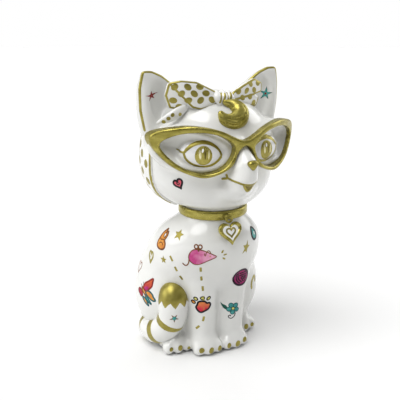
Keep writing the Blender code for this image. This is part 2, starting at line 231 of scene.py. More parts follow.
def stacked(levels, steps=8, sides=120):
    """The closed skin of an upright form; each level is height, front y, back y, half width."""
    points, faces = [], []
    rows = along(levels, steps)
    turns = [2 * math.pi * i / sides for i in range(sides)]
    for z, front, back, half in rows:
        middle, depth = (front + back) / 2, (back - front) / 2
        points += [(half * math.cos(a), middle + depth * math.sin(a), z) for a in turns]
    for r in range(len(rows) - 1):
        for i in range(sides):
            a, b = r * sides + i, r * sides + (i + 1) % sides
            faces += [(a, b, b + sides), (a, b + sides, a + sides)]
    top = (len(rows) - 1) * sides
    for i in range(1, sides - 1):
        faces += [(0, i + 1, i), (top, top + i, top + i + 1)]
    return points, faces


def half_sizes(radii):
    return radii if isinstance(radii, tuple) else (radii,) * 3


def wrapped(balls, sides=24, rings=16):
    """The tight skin round a group of (centre, radius or radii) balls."""
    bm = bmesh.new()
    for centre, radii in balls:
        place = Matrix.LocRotScale(Vector(centre), None, Vector(half_sizes(radii)))
        bmesh.ops.create_uvsphere(bm, u_segments=sides, v_segments=rings, radius=1.0, matrix=place)
    hull = bmesh.ops.convex_hull(bm, input=bm.verts)
    bm.verts.index_update()
    kept = [g for g in hull["geom"] if isinstance(g, bmesh.types.BMFace)]
    bm.normal_update()
    points = [tuple(v.co) for v in bm.verts]
    faces = [[v.index for v in face.verts] for face in kept]
    bm.free()
    used = sorted({i for face in faces for i in face})
    number = {old: new for new, old in enumerate(used)}
    return [points[i] for i in used], [[number[i] for i in face] for face in faces]


def on_side(side, balls):
    """Balls given for the cat's left side, moved to the side that is asked for."""
    return [((side * c[0], c[1], c[2]), r) for c, r in balls]


def outline_distance(flat_points, outline):
    """Signed distance, in a plane, from points to a closed outline; negative inside."""
    nearest = np.full(flat_points.shape[:-1], 1e9)
    inside = np.zeros(flat_points.shape[:-1], bool)
    x, y = flat_points[..., 0], flat_points[..., 1]
    for (ax, ay), (bx, by) in zip(outline, outline[1:] + outline[:1]):
        dx, dy = bx - ax, by - ay
        share = np.clip(((x - ax) * dx + (y - ay) * dy) / (dx * dx + dy * dy + 1e-12), 0, 1)
        nearest = np.minimum(nearest, np.hypot(x - ax - share * dx, y - ay - share * dy))
        if ay != by:
            inside ^= ((ay > y) != (by > y)) & (x < dx * (y - ay) / dy + ax)
    return np.where(inside, -nearest, nearest)


def rounded_slab(across, deep, radius):
    """Distance to a slab with rounded edges, from the distances to its outline and to its two faces."""
    a, b = across + radius, deep + radius
    return np.hypot(np.maximum(a, 0), np.maximum(b, 0)) + np.minimum(np.maximum(a, b), 0) - radius


def turned(profile, centre, sides=128):
    """A closed profile of (radius, height) points turned round an upright axis."""
    points, faces, rows = [], [], []
    for r, z in profile:
        rows.append(len(points))
        count = sides if r else 1
        for i in range(count):
            a = 2 * math.pi * i / sides
            points.append((centre[0] + r * math.cos(a), centre[1] + r * math.sin(a), z))
    for k in range(len(profile)):
        low, high = k, (k + 1) % len(profile)
        flat_low, flat_high = not profile[low][0], not profile[high][0]
        if flat_low and flat_high:
            continue
        for i in range(sides):
            j = (i + 1) % sides
            a, b = rows[low] + (0 if flat_low else i), rows[low] + (0 if flat_low else j)
            c, d = rows[high] + (0 if flat_high else j), rows[high] + (0 if flat_high else i)
            faces.append([a, c, d] if flat_low else [a, b, c] if flat_high else [a, b, c, d])
    return points, faces


def round_profile(corners, radius, steps=4):
    """A closed profile with its corners rounded; a corner on the axis stays sharp."""
    found = []
    n = len(corners)
    for i, corner in enumerate(corners):
        here = Vector(corner)
        if corner[0] == 0:
            found.append(corner)
            continue
        before, after = Vector(corners[i - 1]) - here, Vector(corners[(i + 1) % n]) - here
        cut = min(radius, 0.45 * before.length, 0.45 * after.length)
        start, end = here + before.normalized() * cut, here + after.normalized() * cut
        for k in range(steps + 1):
            t = k / steps
            found.append(tuple((1 - t) ** 2 * start + 2 * t * (1 - t) * here + t * t * end))
    return found


# --- materials -----------------------------------------------------------------------------------------

def set_inputs(node, values):
    for name, value in values.items():
        node.inputs[name].default_value = value


def look(name, colour, other, roughness, metallic=0.0, patch=60.0, streak=(1, 1, 1), rough_spread=0.06,
         grain=900.0, bump=0.05, wave=0.0, coat=0.0, gloss=0.5, fade=None):
    """A procedural finish. Its colour drifts between two tones over patches of 1/patch metres, its roughness
    drifts too, and a fine grain and a slow wave lie in the surface. With fade, two places in millimetres,
    the colour passes from the first tone at one to the second at the other."""
    made = bpy.data.materials.new(name)
    made.use_nodes = True
    nodes, links = made.node_tree.nodes, made.node_tree.links
    shader = nodes["Principled BSDF"]
    set_inputs(shader, {"Metallic": metallic, "Coat Weight": coat, "Coat Roughness": 0.08,
                        "Specular IOR Level": gloss})
    place = nodes.new("ShaderNodeTexCoord")
    stretch = nodes.new("ShaderNodeMapping")
    set_inputs(stretch, {"Scale": streak})
    links.new(place.outputs["Object"], stretch.inputs["Vector"])

    def noise(scale, detail, source=stretch.outputs["Vector"]):
        node = nodes.new("ShaderNodeTexNoise")
        set_inputs(node, {"Scale": scale, "Detail": detail})
        links.new(source, node.inputs["Vector"])
        return node.outputs["Fac"]

    def ranged(source, low, high, start=0.3, end=0.7):
        node = nodes.new("ShaderNodeMapRange")
        set_inputs(node, {"From Min": start, "From Max": end, "To Min": low, "To Max": high})
        links.new(source, node.inputs["Value"])
        return node.outputs["Result"]

    drift = noise(patch, 4.0)
    if fade:
        start, end = Vector(fade[0]) * MM, Vector(fade[1]) * MM
        slope = (end - start) / (end - start).length_squared
        measure = nodes.new("ShaderNodeVectorMath")
        measure.operation = "DOT_PRODUCT"
        measure.inputs[1].default_value = slope
        links.new(place.outputs["Object"], measure.inputs[0])
        share = ranged(measure.outputs["Value"], 0.15, 0.65, start.dot(slope), end.dot(slope))
        total = nodes.new("ShaderNodeMath")
        total.inputs[1].default_value = 0.0
        links.new(share, total.inputs[0])
        links.new(ranged(drift, 0.0, 0.2), total.inputs[1])
        drift = total.outputs["Value"]
    tones = nodes.new("ShaderNodeValToRGB")
    tones.color_ramp.elements[0].position = 0.3
    tones.color_ramp.elements[1].position = 0.7
    tones.color_ramp.elements[0].color = (*colour, 1)
    tones.color_ramp.elements[1].color = (*other, 1)
    links.new(drift, tones.inputs["Fac"])
    links.new(tones.outputs["Color"], shader.inputs["Base Color"])
    rough = ranged(noise(patch * 2.3, 3.0), max(roughness - rough_spread, 0.02), roughness + rough_spread)
    links.new(rough, shader.inputs["Roughness"])
    fine = nodes.new("ShaderNodeBump")
    set_inputs(fine, {"Strength": bump, "Distance": 0.0004})
    links.new(noise(grain, 2.0), fine.inputs["Height"])
    if wave:
        slow = nodes.new("ShaderNodeBump")
        set_inputs(slow, {"Strength": wave, "Distance": 0.001})
        links.new(noise(patch * 0.9, 1.0, place.outputs["Object"]), slow.inputs["Height"])
        links.new(slow.outputs["Normal"], fine.inputs["Normal"])
    links.new(fine.outputs["Normal"], shader.inputs["Normal"])
    return made


GLAZE = look("white_glaze", (0.69, 0.69, 0.662), (0.74, 0.74, 0.72), 0.17, patch=45.0, grain=1400.0,
             bump=0.03, wave=0.06, coat=0.35)
SCARF_GLAZE = look("scarf_glaze", (0.74, 0.74, 0.715), (0.80, 0.80, 0.785), 0.2, patch=70.0, grain=1400.0,
                   bump=0.03, wave=0.05, coat=0.3)
GOLD = look("gold_lustre", (0.22, 0.185, 0.028), (0.42, 0.365, 0.09), 0.3, metallic=0.8, patch=130.0,
            streak=(1, 1, 2.6), rough_spread=0.08, grain=500.0, bump=0.05)
PAINTED_GOLD = look("painted_gold", (0.24, 0.20, 0.035), (0.37, 0.32, 0.075), 0.36, metallic=0.7, patch=150.0,
                    streak=(1, 1, 1.8), rough_spread=0.06, grain=1100.0, bump=0.08)
EYE_WHITE = look("eye_white", (0.72, 0.725, 0.73), (0.78, 0.78, 0.78), 0.1, patch=80.0, grain=1400.0,
                 bump=0.02, coat=0.5)
RUBBER = look("soft_rubber", (0.55, 0.56, 0.56), (0.66, 0.67, 0.66), 0.55, patch=150.0, grain=1600.0,
              bump=0.25)


# --- pieces --------------------------------------------------------------------------------------------

def piece(name, mesh, finish, body="bank", replaces=(), sharp=0.0):
    """A mesh in millimetres as a piece that rides on a body; replaces names the CAD nodes it stands for."""
    points, faces = mesh
    data = bpy.data.meshes.new(name)
    data.from_pydata((np.asarray(points, float) * MM).tolist(), [], [list(map(int, f)) for f in faces])
    data.validate()
    data.shade_smooth()
    if sharp:
        data.set_sharp_from_angle(angle=math.radians(sharp))
    data.materials.append(finish)
    made = bpy.data.objects.new(name, data)
    bpy.context.scene.collection.objects.link(made)
    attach(made, body)
    if replaces:
        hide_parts(*replaces)
    return made


# --- body ----------------------------------------------------------------------------------------------

TORSO = [                # height, front y, back y, half width
    (0, -14, 46, 28),
    (10, -15, 54, 33),
    (24, -15.5, 58.5, 36),
    (38, -17, 58, 38.5),
    (52, -24.5, 53, 40),
    (65, -32, 46.5, 39.6),
    (76, -35.5, 38, 37),
    (84, -36, 29.5, 33),
    (90, -33.5, 20, 27.5),
    (96, -30.5, 12, 21.5),
    (104, -28, 10, 19.2),
]
HAUNCHES = both_sides([ball((23, 14, 36), (22.5, 26, 32))])
LEGS = both_sides(limb([(13, -11, 65, 13.2), (12.4, -12.6, 52, 12.4), (10.8, -13.5, 38, 10.8),
                        (10.4, -13.5, 12, 9.8)]))
PAWS = both_sides([ball((10.3, -16.3, 6.5), (10.2, 10.7, 8.7))])
PAW_TOES = both_sides([ball((x, y, 4.6), (3.9, 4.6, 4.7)) for x, y in ((3.8, -22.6), (10.6, -23), (17, -21))])
FOOT_BACK = {-1: 0.0, 1: 6.0}       # how much further back each hind foot is set
FEET = [ball((side * 28, 2 + back, 7), (9.8, 17, 9)) for side, back in FOOT_BACK.items()]
FOOT_TOES = [ball((side * x, y + back, 4.6), (3.7, 4.6, 4.7)) for side, back in FOOT_BACK.items()
             for x, y in ((21.6, -11), (28.2, -11.6), (34.4, -9.8))]
CHAMBER = [ball((0, -2, 76), (28, 28, 19)), ball((0, 9, 56), (35, 31, 25)), ball((0, 21, 36), (33, 32, 26)),
           ball((0, 20, 17), (28, 27, 9))]


def radius_from(points, x, y):
    return np.hypot(points[..., 0] - x, points[..., 1] - y)


def body_mesh():
    clay = Clay((-56, -44, -6), (56, 76, 106), 0.9)
    clay.add(clay.skin(*stacked(TORSO)))
    clay.add(clay.together(HAUNCHES), 6)
    clay.add(clay.together(LEGS), 3)
    clay.soften(8)
    clay.add(clay.together(PAWS), 3)
    clay.add(clay.together(FEET), 3.5)
    clay.soften(2)
    clay.add(clay.together(PAW_TOES + FOOT_TOES), 1.6)
    clay.soften(1)
    clay.cut(clay.together(CHAMBER, 5))
    points = clay.points()
    height = points[..., 2]
    passage = np.maximum(radius_from(points, 0, NECK_Y) - PASSAGE_R, PASSAGE_Z[0] - height)
    opening = np.maximum(radius_from(points, 0, BASE_Y) - OPENING_R, height - 16)
    clay.cut(passage, 2)
    clay.cut(opening, 1.2)
    clay.cut(height - 0.1, 1.2)
    clay.cut(JOIN_Z - 0.1 - height)
    return clay.mesh()


# --- head ----------------------------------------------------------------------------------------------

SKULL = [                # height, front y, back y, half width
    (92, -28.2, 10.2, 19.2),
    (102, -29, 12, 20),
    (105, -34, 20, 27),
    (110, -38.5, 28, 35),
    (116, -41, 34, 40),
    (123, -42, 39, 42.6),
    (132, -42, 41.8, 43.2),
    (142, -41.5, 42, 42.4),
    (152, -39.5, 39.5, 39.5),
    (160, -36, 34.5, 35),
    (166, -31, 28, 29.5),
    (170.5, -24.5, 20.5, 22.5),
    (173.4, -14, 10, 12),
    (174, -4, 1, 2),
]
BROWS = both_sides([ball((27, -28, 143.5), (26, 13.5, 14.5), (0, -8, 27))])
MUZZLE = [ball((0, -46, 132.6), (7.6, 11.6, 8.4)), ball((0, -45, 127), (9.2, 11.3, 5.2))]
BRIDGE = limb([(0, -41, 146, 4.2), (0, -46, 141, 4.8), (0, -50.5, 136, 5.2)])
CHIN = [ball((0, -38, 118.6), (14, 9, 8)), ball((0, -44, 121.4), (8, 8.6, 5.6))]
HEAD_ROOM = [ball((0, 1, 140), (38, 36, 28)), ball((0, -2, 122), (36, 28, 13.5))]
EAR = [                  # the cat's left ear: places and half sizes of balls under one tight skin
    ((47, -7, 188), 1.7),
    ((42, -6.5, 188), 1.7),
    ((48.2, -5, 178), (2.4, 3.4, 5)),
    ((47.2, -4, 166), (3.2, 5, 5)),
    ((43.5, -3.5, 153), (4.5, 7, 5)),
    ((17, -2, 166), (5, 6, 5)),
    ((35, -5.5, 184.6), (1.8, 2.6, 2)),
    ((28, -4.5, 179), (2, 3, 2.4)),
    ((30, -2, 158), (8, 8, 5)),
]
EAR_RIM_FROM = 27        # the gold rim runs outwards from here, over the tip
EAR_RIM_LOW = 198        # and down to where z + x is this
EAR_DISHES = both_sides([ball((34.5, -19, 169), (11.6, 15.6, 21), (0, 14, 0))])
HEAD_BLOCK = ((-57, -68, 90), (57, 50, 196))


def bare_head(clay):
    """The head without its ears, its hollows for the eyes or its inside."""
    clay.add(clay.skin(*stacked(SKULL)))
    clay.add(clay.together(BROWS), 5)
    clay.add(clay.together(CHIN), 4)
    clay.soften(8)
    clay.add(clay.together(MUZZLE, 3), 2.5)
    clay.add(clay.together(BRIDGE), 4)
    clay.soften(3)
    return clay


def face_y(x):
    return FACE_Y + FACE_BEND * x * x


def face_lean(x):
    """How much a step along Y counts across the face, which falls back from the nose."""
    return 1 / np.sqrt(1 + (2 * FACE_BEND * x) ** 2)


GLASSES_RIM = [(0, 150), (8, 152.8), (14, 155.8), (22, 158.2), (31, 159.2), (40, 158), (47.5, 156),
               (51, 152.6), (50, 147), (46, 140.6), (40, 134.5), (32, 130.2), (24, 128.4), (14.4, 131.2),
               (8.0, 136.0), (5.0, 142.8), (0, 146.8)]
GLASSES_LENS = [(6.8, 145.8), (11, 150.4), (18, 153.9), (27, 155.3), (36, 154.4), (43.5, 151.2),
                (46.2, 147.6), (44, 142.8), (38.6, 137), (32, 133), (23.8, 130.9), (14.6, 133.4), (9, 139)]
RIM_OUTLINE = loop_through(GLASSES_RIM + [(-x, z) for x, z in GLASSES_RIM[-2:0:-1]], 4)
LENS_OUTLINE = loop_through(GLASSES_LENS, 4)
RIM_PROUD = 2.4        # how far the rim's front stands before the face
RIM_DEPTH = 6.5
BOWL_DEPTH = 6.6       # how deep the hollows behind the lenses are
BOWL_SLOPE = 3.2       # how gently their walls run down


def glasses_outlines(points):
    """Distances to the outline of the glasses and to their lenses, seen from straight ahead."""
    flat = points[:, 0, :, :][..., (0, 2)]
    rim = outline_distance(flat, RIM_OUTLINE)
    flat[..., 0] = np.abs(flat[..., 0])
    lens = outline_distance(flat, LENS_OUTLINE)
    return rim[:, None, :], lens[:, None, :]


EYE_PLACES = {1: (20.9, -36.1, 141.8), -1: (23.3, -35.4, 141.8)}      # the -X one is mirrored


def eyeball(side, less=0.0):
    shape = ball(EYE_PLACES[side], (12.8 - less, 5.8 - less, 9.3 - less), (0, -4, 24))
    return shape if side > 0 else mirrored(shape)


EYE_BED = [eyeball(side, 0.5) for side in EYE_PLACES]


def with_ears(bare):
    """The head with its ears on and its hollows for the eyes."""
    clay = Clay(*HEAD_BLOCK, bare.grain)
    points = clay.points()
    x, y = points[..., 0], points[..., 1]
    rim, lens = glasses_outlines(points)
    before = (y - face_y(x)) * face_lean(x)
    depth = BOWL_DEPTH * (1 - np.exp(np.minimum(lens, 0) / BOWL_SLOPE))
    clay.field = bare.field.copy()
    clay.cut(np.maximum(rim - 0.5, before - 0.3), 1)
    clay.cut(np.maximum(lens, before - depth), 0.8)
    clay.add(clay.together(EYE_BED), 4)
    ears = Clay(*HEAD_BLOCK, bare.grain)
    for side in (-1, 1):
        ears.add(ears.skin(*wrapped(on_side(side, EAR))))
    ears.soften(2)
    ears.cut(ears.together(EAR_DISHES), 2)
    clay.add(ears.field, 3.5)
    clay.soften(1)
    return clay


def head_mesh(clay):
    """The head's shell, with its room for falling coins, the neck's passage and the coin slot."""
    shell = Clay(*HEAD_BLOCK, clay.grain)
    shell.field = clay.field.copy()
    shell.cut(shell.together(HEAD_ROOM, 5))
    points = shell.points()
    height = points[..., 2]
    passage = np.maximum(radius_from(points, 0, NECK_Y) - PASSAGE_R, height - PASSAGE_Z[1])
    shell.cut(passage, 2)
    along_slot = np.abs(points[..., 0]) - SLOT[0] / 2
    across_slot = np.abs(points[..., 1] - SLOT_Y) - SLOT[1] / 2
    shell.cut(np.stack([along_slot, across_slot, SLOT_FLOOR - height]).max(0), 1.2)
    shell.cut(height - JOIN_Z - 0.1)
    return shell.mesh()


def glasses_mesh():
    clay = Clay((-54, -54, 125), (54, -15, 162), 0.45)
    points = clay.points()
    x, y = points[..., 0], points[..., 1]
    rim, lens = glasses_outlines(points)
    deep = np.abs((y - face_y(x)) * face_lean(x) + RIM_PROUD - RIM_DEPTH / 2) - RIM_DEPTH / 2
    clay.field = rounded_slab(np.maximum(rim, -lens), deep, 1.2).astype(np.float32)
    clay.soften(1)
    return clay.mesh()


def eye_mesh(side):
    low_x, high_x = sorted((6 * side, 38 * side))
    clay = Clay((low_x, -46, 128), (high_x, -26, 154), 0.5)
    clay.add(clay.together([eyeball(side)]))
    return clay.mesh()


def nose_mesh():
    clay = Clay((-7, -64, 129), (7, -50, 144), 0.35)
    corners = [((1.7, -56.8, 137.5), (1.8, 2.4, 1.8)), ((-1.7, -56.8, 137.5), (1.8, 2.4, 1.8)),
               ((0, -57.0, 137.8), (1.6, 2.2, 1.9)), ((0, -56.8, 134.8), (1.5, 2.2, 1.5))]
    clay.add(clay.skin(*wrapped(corners)))
    clay.soften(3)
    return clay.mesh()


# --- scarf, bow and curl -------------------------------------------------------------------------------

SCARF_PROUD = 1.5
SCARF_Y = (-8, 14)       # the band's front and rear edges on the cheeks
CROWN_Y = 4.5            # its front edge behind the ears
BOW_LOBES = {            # two lobes for each loop: balls under a tight skin
    -1: [[((-6.5, -23.5, 173.2), (2.2, 2.6, 3.6)), ((-9.5, -22.5, 176.2), 1.6),
          ((-19.5, -20.5, 181.2), (2.4, 3, 2)), ((-28.5, -18.5, 182.4), (2.4, 2.8, 1.8)),
          ((-33.8, -17.5, 181.8), 1.4), ((-21.5, -21.5, 168.8), (1.8, 2.6, 1.8)),
          ((-17, -22.5, 167.8), (2, 2.8, 1.8)), ((-9, -23.5, 169.6), 1.8)],
         [((-34.2, -16.2, 181.2), 1.6), ((-35.6, -14.8, 175), 1.5), ((-33, -14.8, 168.2), 1.5),
          ((-25.5, -18, 167.6), 1.6), ((-24, -17, 174), 2.2)]],
    1: [[((6, -23.3, 173.6), (2.2, 2.6, 3.0)), ((14, -21.5, 178.6), (2, 2.6, 1.6)),
         ((23.5, -18.5, 181.7), 1.7), ((29.4, -16.5, 179.2), 1.7), ((29.6, -16.5, 175.2), 1.5),
         ((22, -19, 174.4), 2)],
        [((6, -23, 172), (2.2, 2.6, 2.6)), ((27.2, -17.2, 170.8), 1.4), ((25, -18, 166.6), 1.5),
         ((15, -21.3, 169.3), (1.8, 2.4, 1.8)), ((22, -18.6, 172.6), 1.8), ((9, -22.8, 171), 1.6)]],
}
BOW_CREASES = {          # soft pleats that run out from the knot: x, y, z, radius at each end
    -1: [((-8, -26.6, 174.6, 0.7), (-20, -24.4, 177.6, 0.2)), ((-8, -27, 172.4, 0.6), (-17, -26, 171, 0.2))],
    1: [((8, -26.4, 173.4, 0.6), (21, -22.4, 174.2, 0.6)), ((8, -26, 175, 0.5), (17, -23.6, 178, 0.2))],
}
KNOT = (limb([(-6.2, -23.2, 175.8, 1.7), (-6.5, -26.0, 173.2, 2.3), (-4.6, -25.8, 169.8, 1.8)])
        + limb([(1.6, -23.3, 175.8, 1.6), (2.6, -26.0, 172.4, 2.3), (3.2, -25.4, 169.2, 1.7)])
        + [ball((-1.8, -23.2, 172.8), (4.6, 3.6, 3.8))])
KNOT_WRAP = limb([(-2.4, -23.3, 176.2, 1.7), (-2.0, -26.8, 173.0, 2.5), (-0.4, -26.2, 169.3, 1.9)])
SCARF_END = [(-26, -19.4, 167, 2.4), (-31, -20.4, 164.9, 3.1), (-36, -20.2, 162.4, 2.8),
             (-40, -18.6, 160.4, 1.9), (-42.4, -17.2, 159.2, 1.1)]
CURL = [(-2.5, -28.5, 170.4, 1.8), (2.6, -30.5, 168.6, 3.6), (5.2, -33, 164.8, 5.3), (3.4, -35.2, 161.2, 5.9),
        (-1.8, -36.2, 159.6, 5.0), (-6.6, -35.4, 161.0, 3.6), (-8.8, -34.0, 164.6, 1.9)]


def scarf_mesh(bare):
    clay = Clay(*HEAD_BLOCK, bare.grain)
    points = clay.points()
    x, y, z = points[..., 0], points[..., 1], points[..., 2]
    clay.field = np.maximum(bare.field - SCARF_PROUD, -bare.field - 0.8)
    front = np.interp(z, (148, 154), (SCARF_Y[0], CROWN_Y))
    clay.field = smooth_max(clay.field, (front - y).astype(np.float32), 1.6)
    clay.field = smooth_max(clay.field, y - SCARF_Y[1], 1.6)
    clay.cut(np.maximum(np.abs(x) - 25, z - 108), 1)
    return clay.mesh()


def loop_mesh(side):
    low, high = ((-41, -32, 161), (0, -8, 189)) if side < 0 else ((0, -32, 161), (36, -8, 188))
    clay = Clay(low, high, 0.4)
    for lobe in BOW_LOBES[side]:
        part = Clay(low, high, 0.4)
        part.add(part.skin(*wrapped(lobe)))
        part.soften(4)
        clay.add(part.field, 0.5)
    clay.cut(clay.together([cone(a, b) for a, b in BOW_CREASES[side]]), 1.6)
    clay.soften(1)
    return clay.mesh()


def knot_mesh():
    clay = Clay((-12, -33, 164), (9, -16, 184), 0.35)
    clay.add(clay.together(KNOT, 0.8))
    clay.add(clay.together(KNOT_WRAP), 0.5)
    clay.soften(1)
    return clay.mesh()


def scarf_end_mesh():
    clay = Clay((-46, -26, 155), (-22, -12, 172), 0.35)
    clay.add(clay.together(limb(SCARF_END, flat=(1, 0.62, 1)), 0.3))
    clay.soften(1)
    return clay.mesh()


def curl_mesh():
    clay = Clay((-14, -44, 151), (14, -22, 175), 0.35)
    clay.add(clay.together(limb(CURL, flat=(1, 0.72, 1)), 0.4))
    for inset in (-0.45, 0.1, 0.55):
        forward = 0.72 * math.sqrt(1 - inset ** 2)
        groove = [(x + inset * r * 0.6, y - forward * r - 0.1, z + inset * r * 0.8, 0.3)
                  for x, y, z, r in CURL[1:-1]]
        clay.cut(clay.together(limb(groove)), 0.7)
    clay.soften(1)
    return clay.mesh()


# --- tail, collar and tag ------------------------------------------------------------------------------

TAIL = [(-4, 47.5, 14, 9.5), (-20, 41, 12, 9), (-29, 29, 10.5, 8.6), (-35.5, 14, 10.5, 8.4),
        (-36, 4, 12, 8.4), (-33.5, -4, 17, 8.6), (-31, -9.4, 26, 8.8), (-30.3, -10, 35, 9.4),
        (-30.3, -9.6, 41, 8.8), (-30.3, -9, 44, 7.2)]
TAG_PLACE = Matrix.Translation((-3.2, -37.6, 90.4)) @ Matrix.Rotation(math.radians(72), 4, "X")
TAG_WIDTH = 16.5


def tail_clay():
    clay = Clay((-50, -24, 0), (8, 60, 56), 0.5)
    clay.add(clay.together(limb(TAIL), 1.5))
    clay.soften(2)
    clay.cut(clay.together(CHAMBER, 5) - 1.5)
    return clay


def tail_mesh():
    clay = tail_clay()
    clay.cut(clay.points()[..., 2] - 0.3, 1.5)
    return clay.mesh()


def collar_mesh():
    low, high = 96.3, 102.1
    corners = [(19.6, low), (22.2, low), (22.8, low + 0.9), (22.8, high - 0.9), (22.2, high), (19.6, high)]
    return turned(round_profile(corners, 0.7), (0, NECK_Y))


def heart_outline(width, points=60):
    """A heart of the given width, its point down, about (0, 0)."""
    found = []
    for i in range(points):
        t = 2 * math.pi * i / points
        x = 16 * math.sin(t) ** 3
        y = 13 * math.cos(t) - 5 * math.cos(2 * t) - 2 * math.cos(3 * t) - math.cos(4 * t)
        found.append((x * width / 32, y * width / 32))
    return found


def placed(mesh, matrix):
    points, faces = mesh
    turn = np.array(matrix.to_3x3())
    return np.asarray(points) @ turn.T + np.array(matrix.translation), faces


def tag_mesh():
    """A heart with a raised round rim and a sunk face, which looks along the local +Z."""
    clay = Clay((-10, -10, -4), (10, 9, 4), 0.25)
    points = clay.points()
    across = outline_distance(points[:, :, 0, :2], heart_outline(TAG_WIDTH))[:, :, None]
    height = points[..., 2]
    clay.field = rounded_slab(across + 0.1, np.abs(height) - 0.9, 0.5).astype(np.float32)
    clay.add(np.hypot(across + 1.15, (height - 0.55) * 0.9) - 1.05, 0.5)
    clay.soften(1)
    return placed(clay.mesh(), TAG_PLACE)


def bail_mesh():
    """The little ring between collar and tag."""
    turn = Matrix.Rotation(math.radians(80), 4, "X")
    ring = [turn @ Vector((2.1 * math.cos(a), 2.1 * math.sin(a), 0))
            for a in [2 * math.pi * i / 24 for i in range(25)]]
    path = [(p.x - 2.4, p.y - 34.4, p.z + 98.2, 0.75) for p in ring]
    clay = Clay((-8, -40, 92), (3, -29, 103), 0.25)
    clay.add(clay.together([cone(a, b) for a, b in zip(path, path[1:])]))
    return clay.mesh()


# --- base and stopper ----------------------------------------------------------------------------------

def floor_mesh_of_bank():
    corners = [(16.5, 6.5), (OPENING_R - 0.3, 6.5), (OPENING_R - 0.3, 10), (16.5, 10)]
    return turned(round_profile(corners, 0.6), (0, BASE_Y))


def plug_mesh():
    """A rubber cup with a flange that laps the hole, and two sealing rings round its wall."""
    wall = [(16.2, 6.2), (15.9, 6.9), (15.9, 8.0), (16.2, 8.6), (15.9, 9.2), (15.9, 10.6), (16.2, 11.2),
            (16.1, 12.3), (15.4, 13.0), (14.2, 13.0), (13.6, 12.4), (13.6, 7.7), (0, 7.7)]
    flange = [(0, 4.0), (18.4, 4.0), (19.0, 4.6), (19.0, 5.6), (18.4, 6.2)]
    return turned(flange + wall, (0, BASE_Y), sides=96)


def tab_mesh():
    """A flat pull tab with grip ribs, under the flange."""
    clay = Clay((-7, 6, 0), (7, 29, 6), 0.3)
    points = clay.points()
    x, y, z = points[..., 0], points[..., 1], points[..., 2]
    end = BASE_Y + 10.0
    length, half = 15.0, 4.5
    core = end - np.clip(end - y, half * 0.6, length - half)
    across = np.hypot(np.abs(x), y - core) - half
    clay.field = rounded_slab(np.maximum(across, y - end), np.abs(z - 2.7) - 1.0, 0.5).astype(np.float32)
    for row in range(4):
        rib = cone((-2.6, end - 8 - 1.6 * row, 1.75, 0.45), (2.6, end - 8 - 1.6 * row, 1.75, 0.45))
        clay.cut(clay.together([rib]), 0.2)
    return clay.mesh()


# --- paint ---------------------------------------------------------------------------------------------

LIFT = 0.12            # how far paint stands off the glaze, for each layer of it
SINK = 0.3             # how deep its underside lies in the glaze
FLOW = 1.3             # how much wider a brush line spreads than it is drawn
BRUSH_STEP = 0.7       # spacing of the points of a painted line or patch
CROWN = ((-1, 0.3), (-0.5, 0.9), (0, 1), (0.5, 0.9), (1, 0.3))   # a line's section: place, share of lift


class Surface:
    """Some meshes that paint can be laid on."""

    def __init__(self, *meshes):
        self.tree = BVHTree.FromPolygons(*joined(*meshes))

    def nearest(self, point):
        return self.tree.find_nearest(Vector(point))[:2]

    def hit(self, start, direction):
        place, normal = self.tree.ray_cast(Vector(start), Vector(direction))[:2]
        return (place, normal) if place else None

    def over(self, point, normal, reach=3.0):
        """The place met when coming down on a point along the normal given, or else the nearest place."""
        found = self.hit(Vector(point) + reach * normal, -normal)
        if found and (found[0] - Vector(point)).length < 1.5 * reach:
            return found
        return self.nearest(point)

    def ahead(self, x, z):
        """The place and normal met at x, z when looking from straight ahead, or None."""
        return self.hit((x, AHEAD_Y, z), BACKWARDS)

    def front(self, x, z):
        return self.ahead(x, z)[0]


class Spot:
    """A place on a surface, with directions across it and up it; turn is in degrees, against the clock.

    Shapes are laid on along the surface's normal there, or along facing where it is given.
    """

    def __init__(self, surface, centre, turn=0.0, reach=4.0, facing=None):
        self.surface, self.reach = surface, reach
        self.centre, normal = surface.nearest(centre)
        for step in ((1.5, 0, 0), (-1.5, 0, 0), (0, 1.5, 0), (0, -1.5, 0), (0, 0, 1.5), (0, 0, -1.5)):
            normal = normal + surface.nearest(self.centre + Vector(step))[1]
        self.normal = Vector(facing or normal).normalized()
        up = (UP - UP.dot(self.normal) * self.normal).normalized()
        spin = Matrix.Rotation(math.radians(turn), 3, self.normal)
        self.up = spin @ up
        self.across = spin @ up.cross(self.normal)

    def at(self, a, b):
        return self.surface.over(self.centre + a * self.across + b * self.up, self.normal, self.reach)


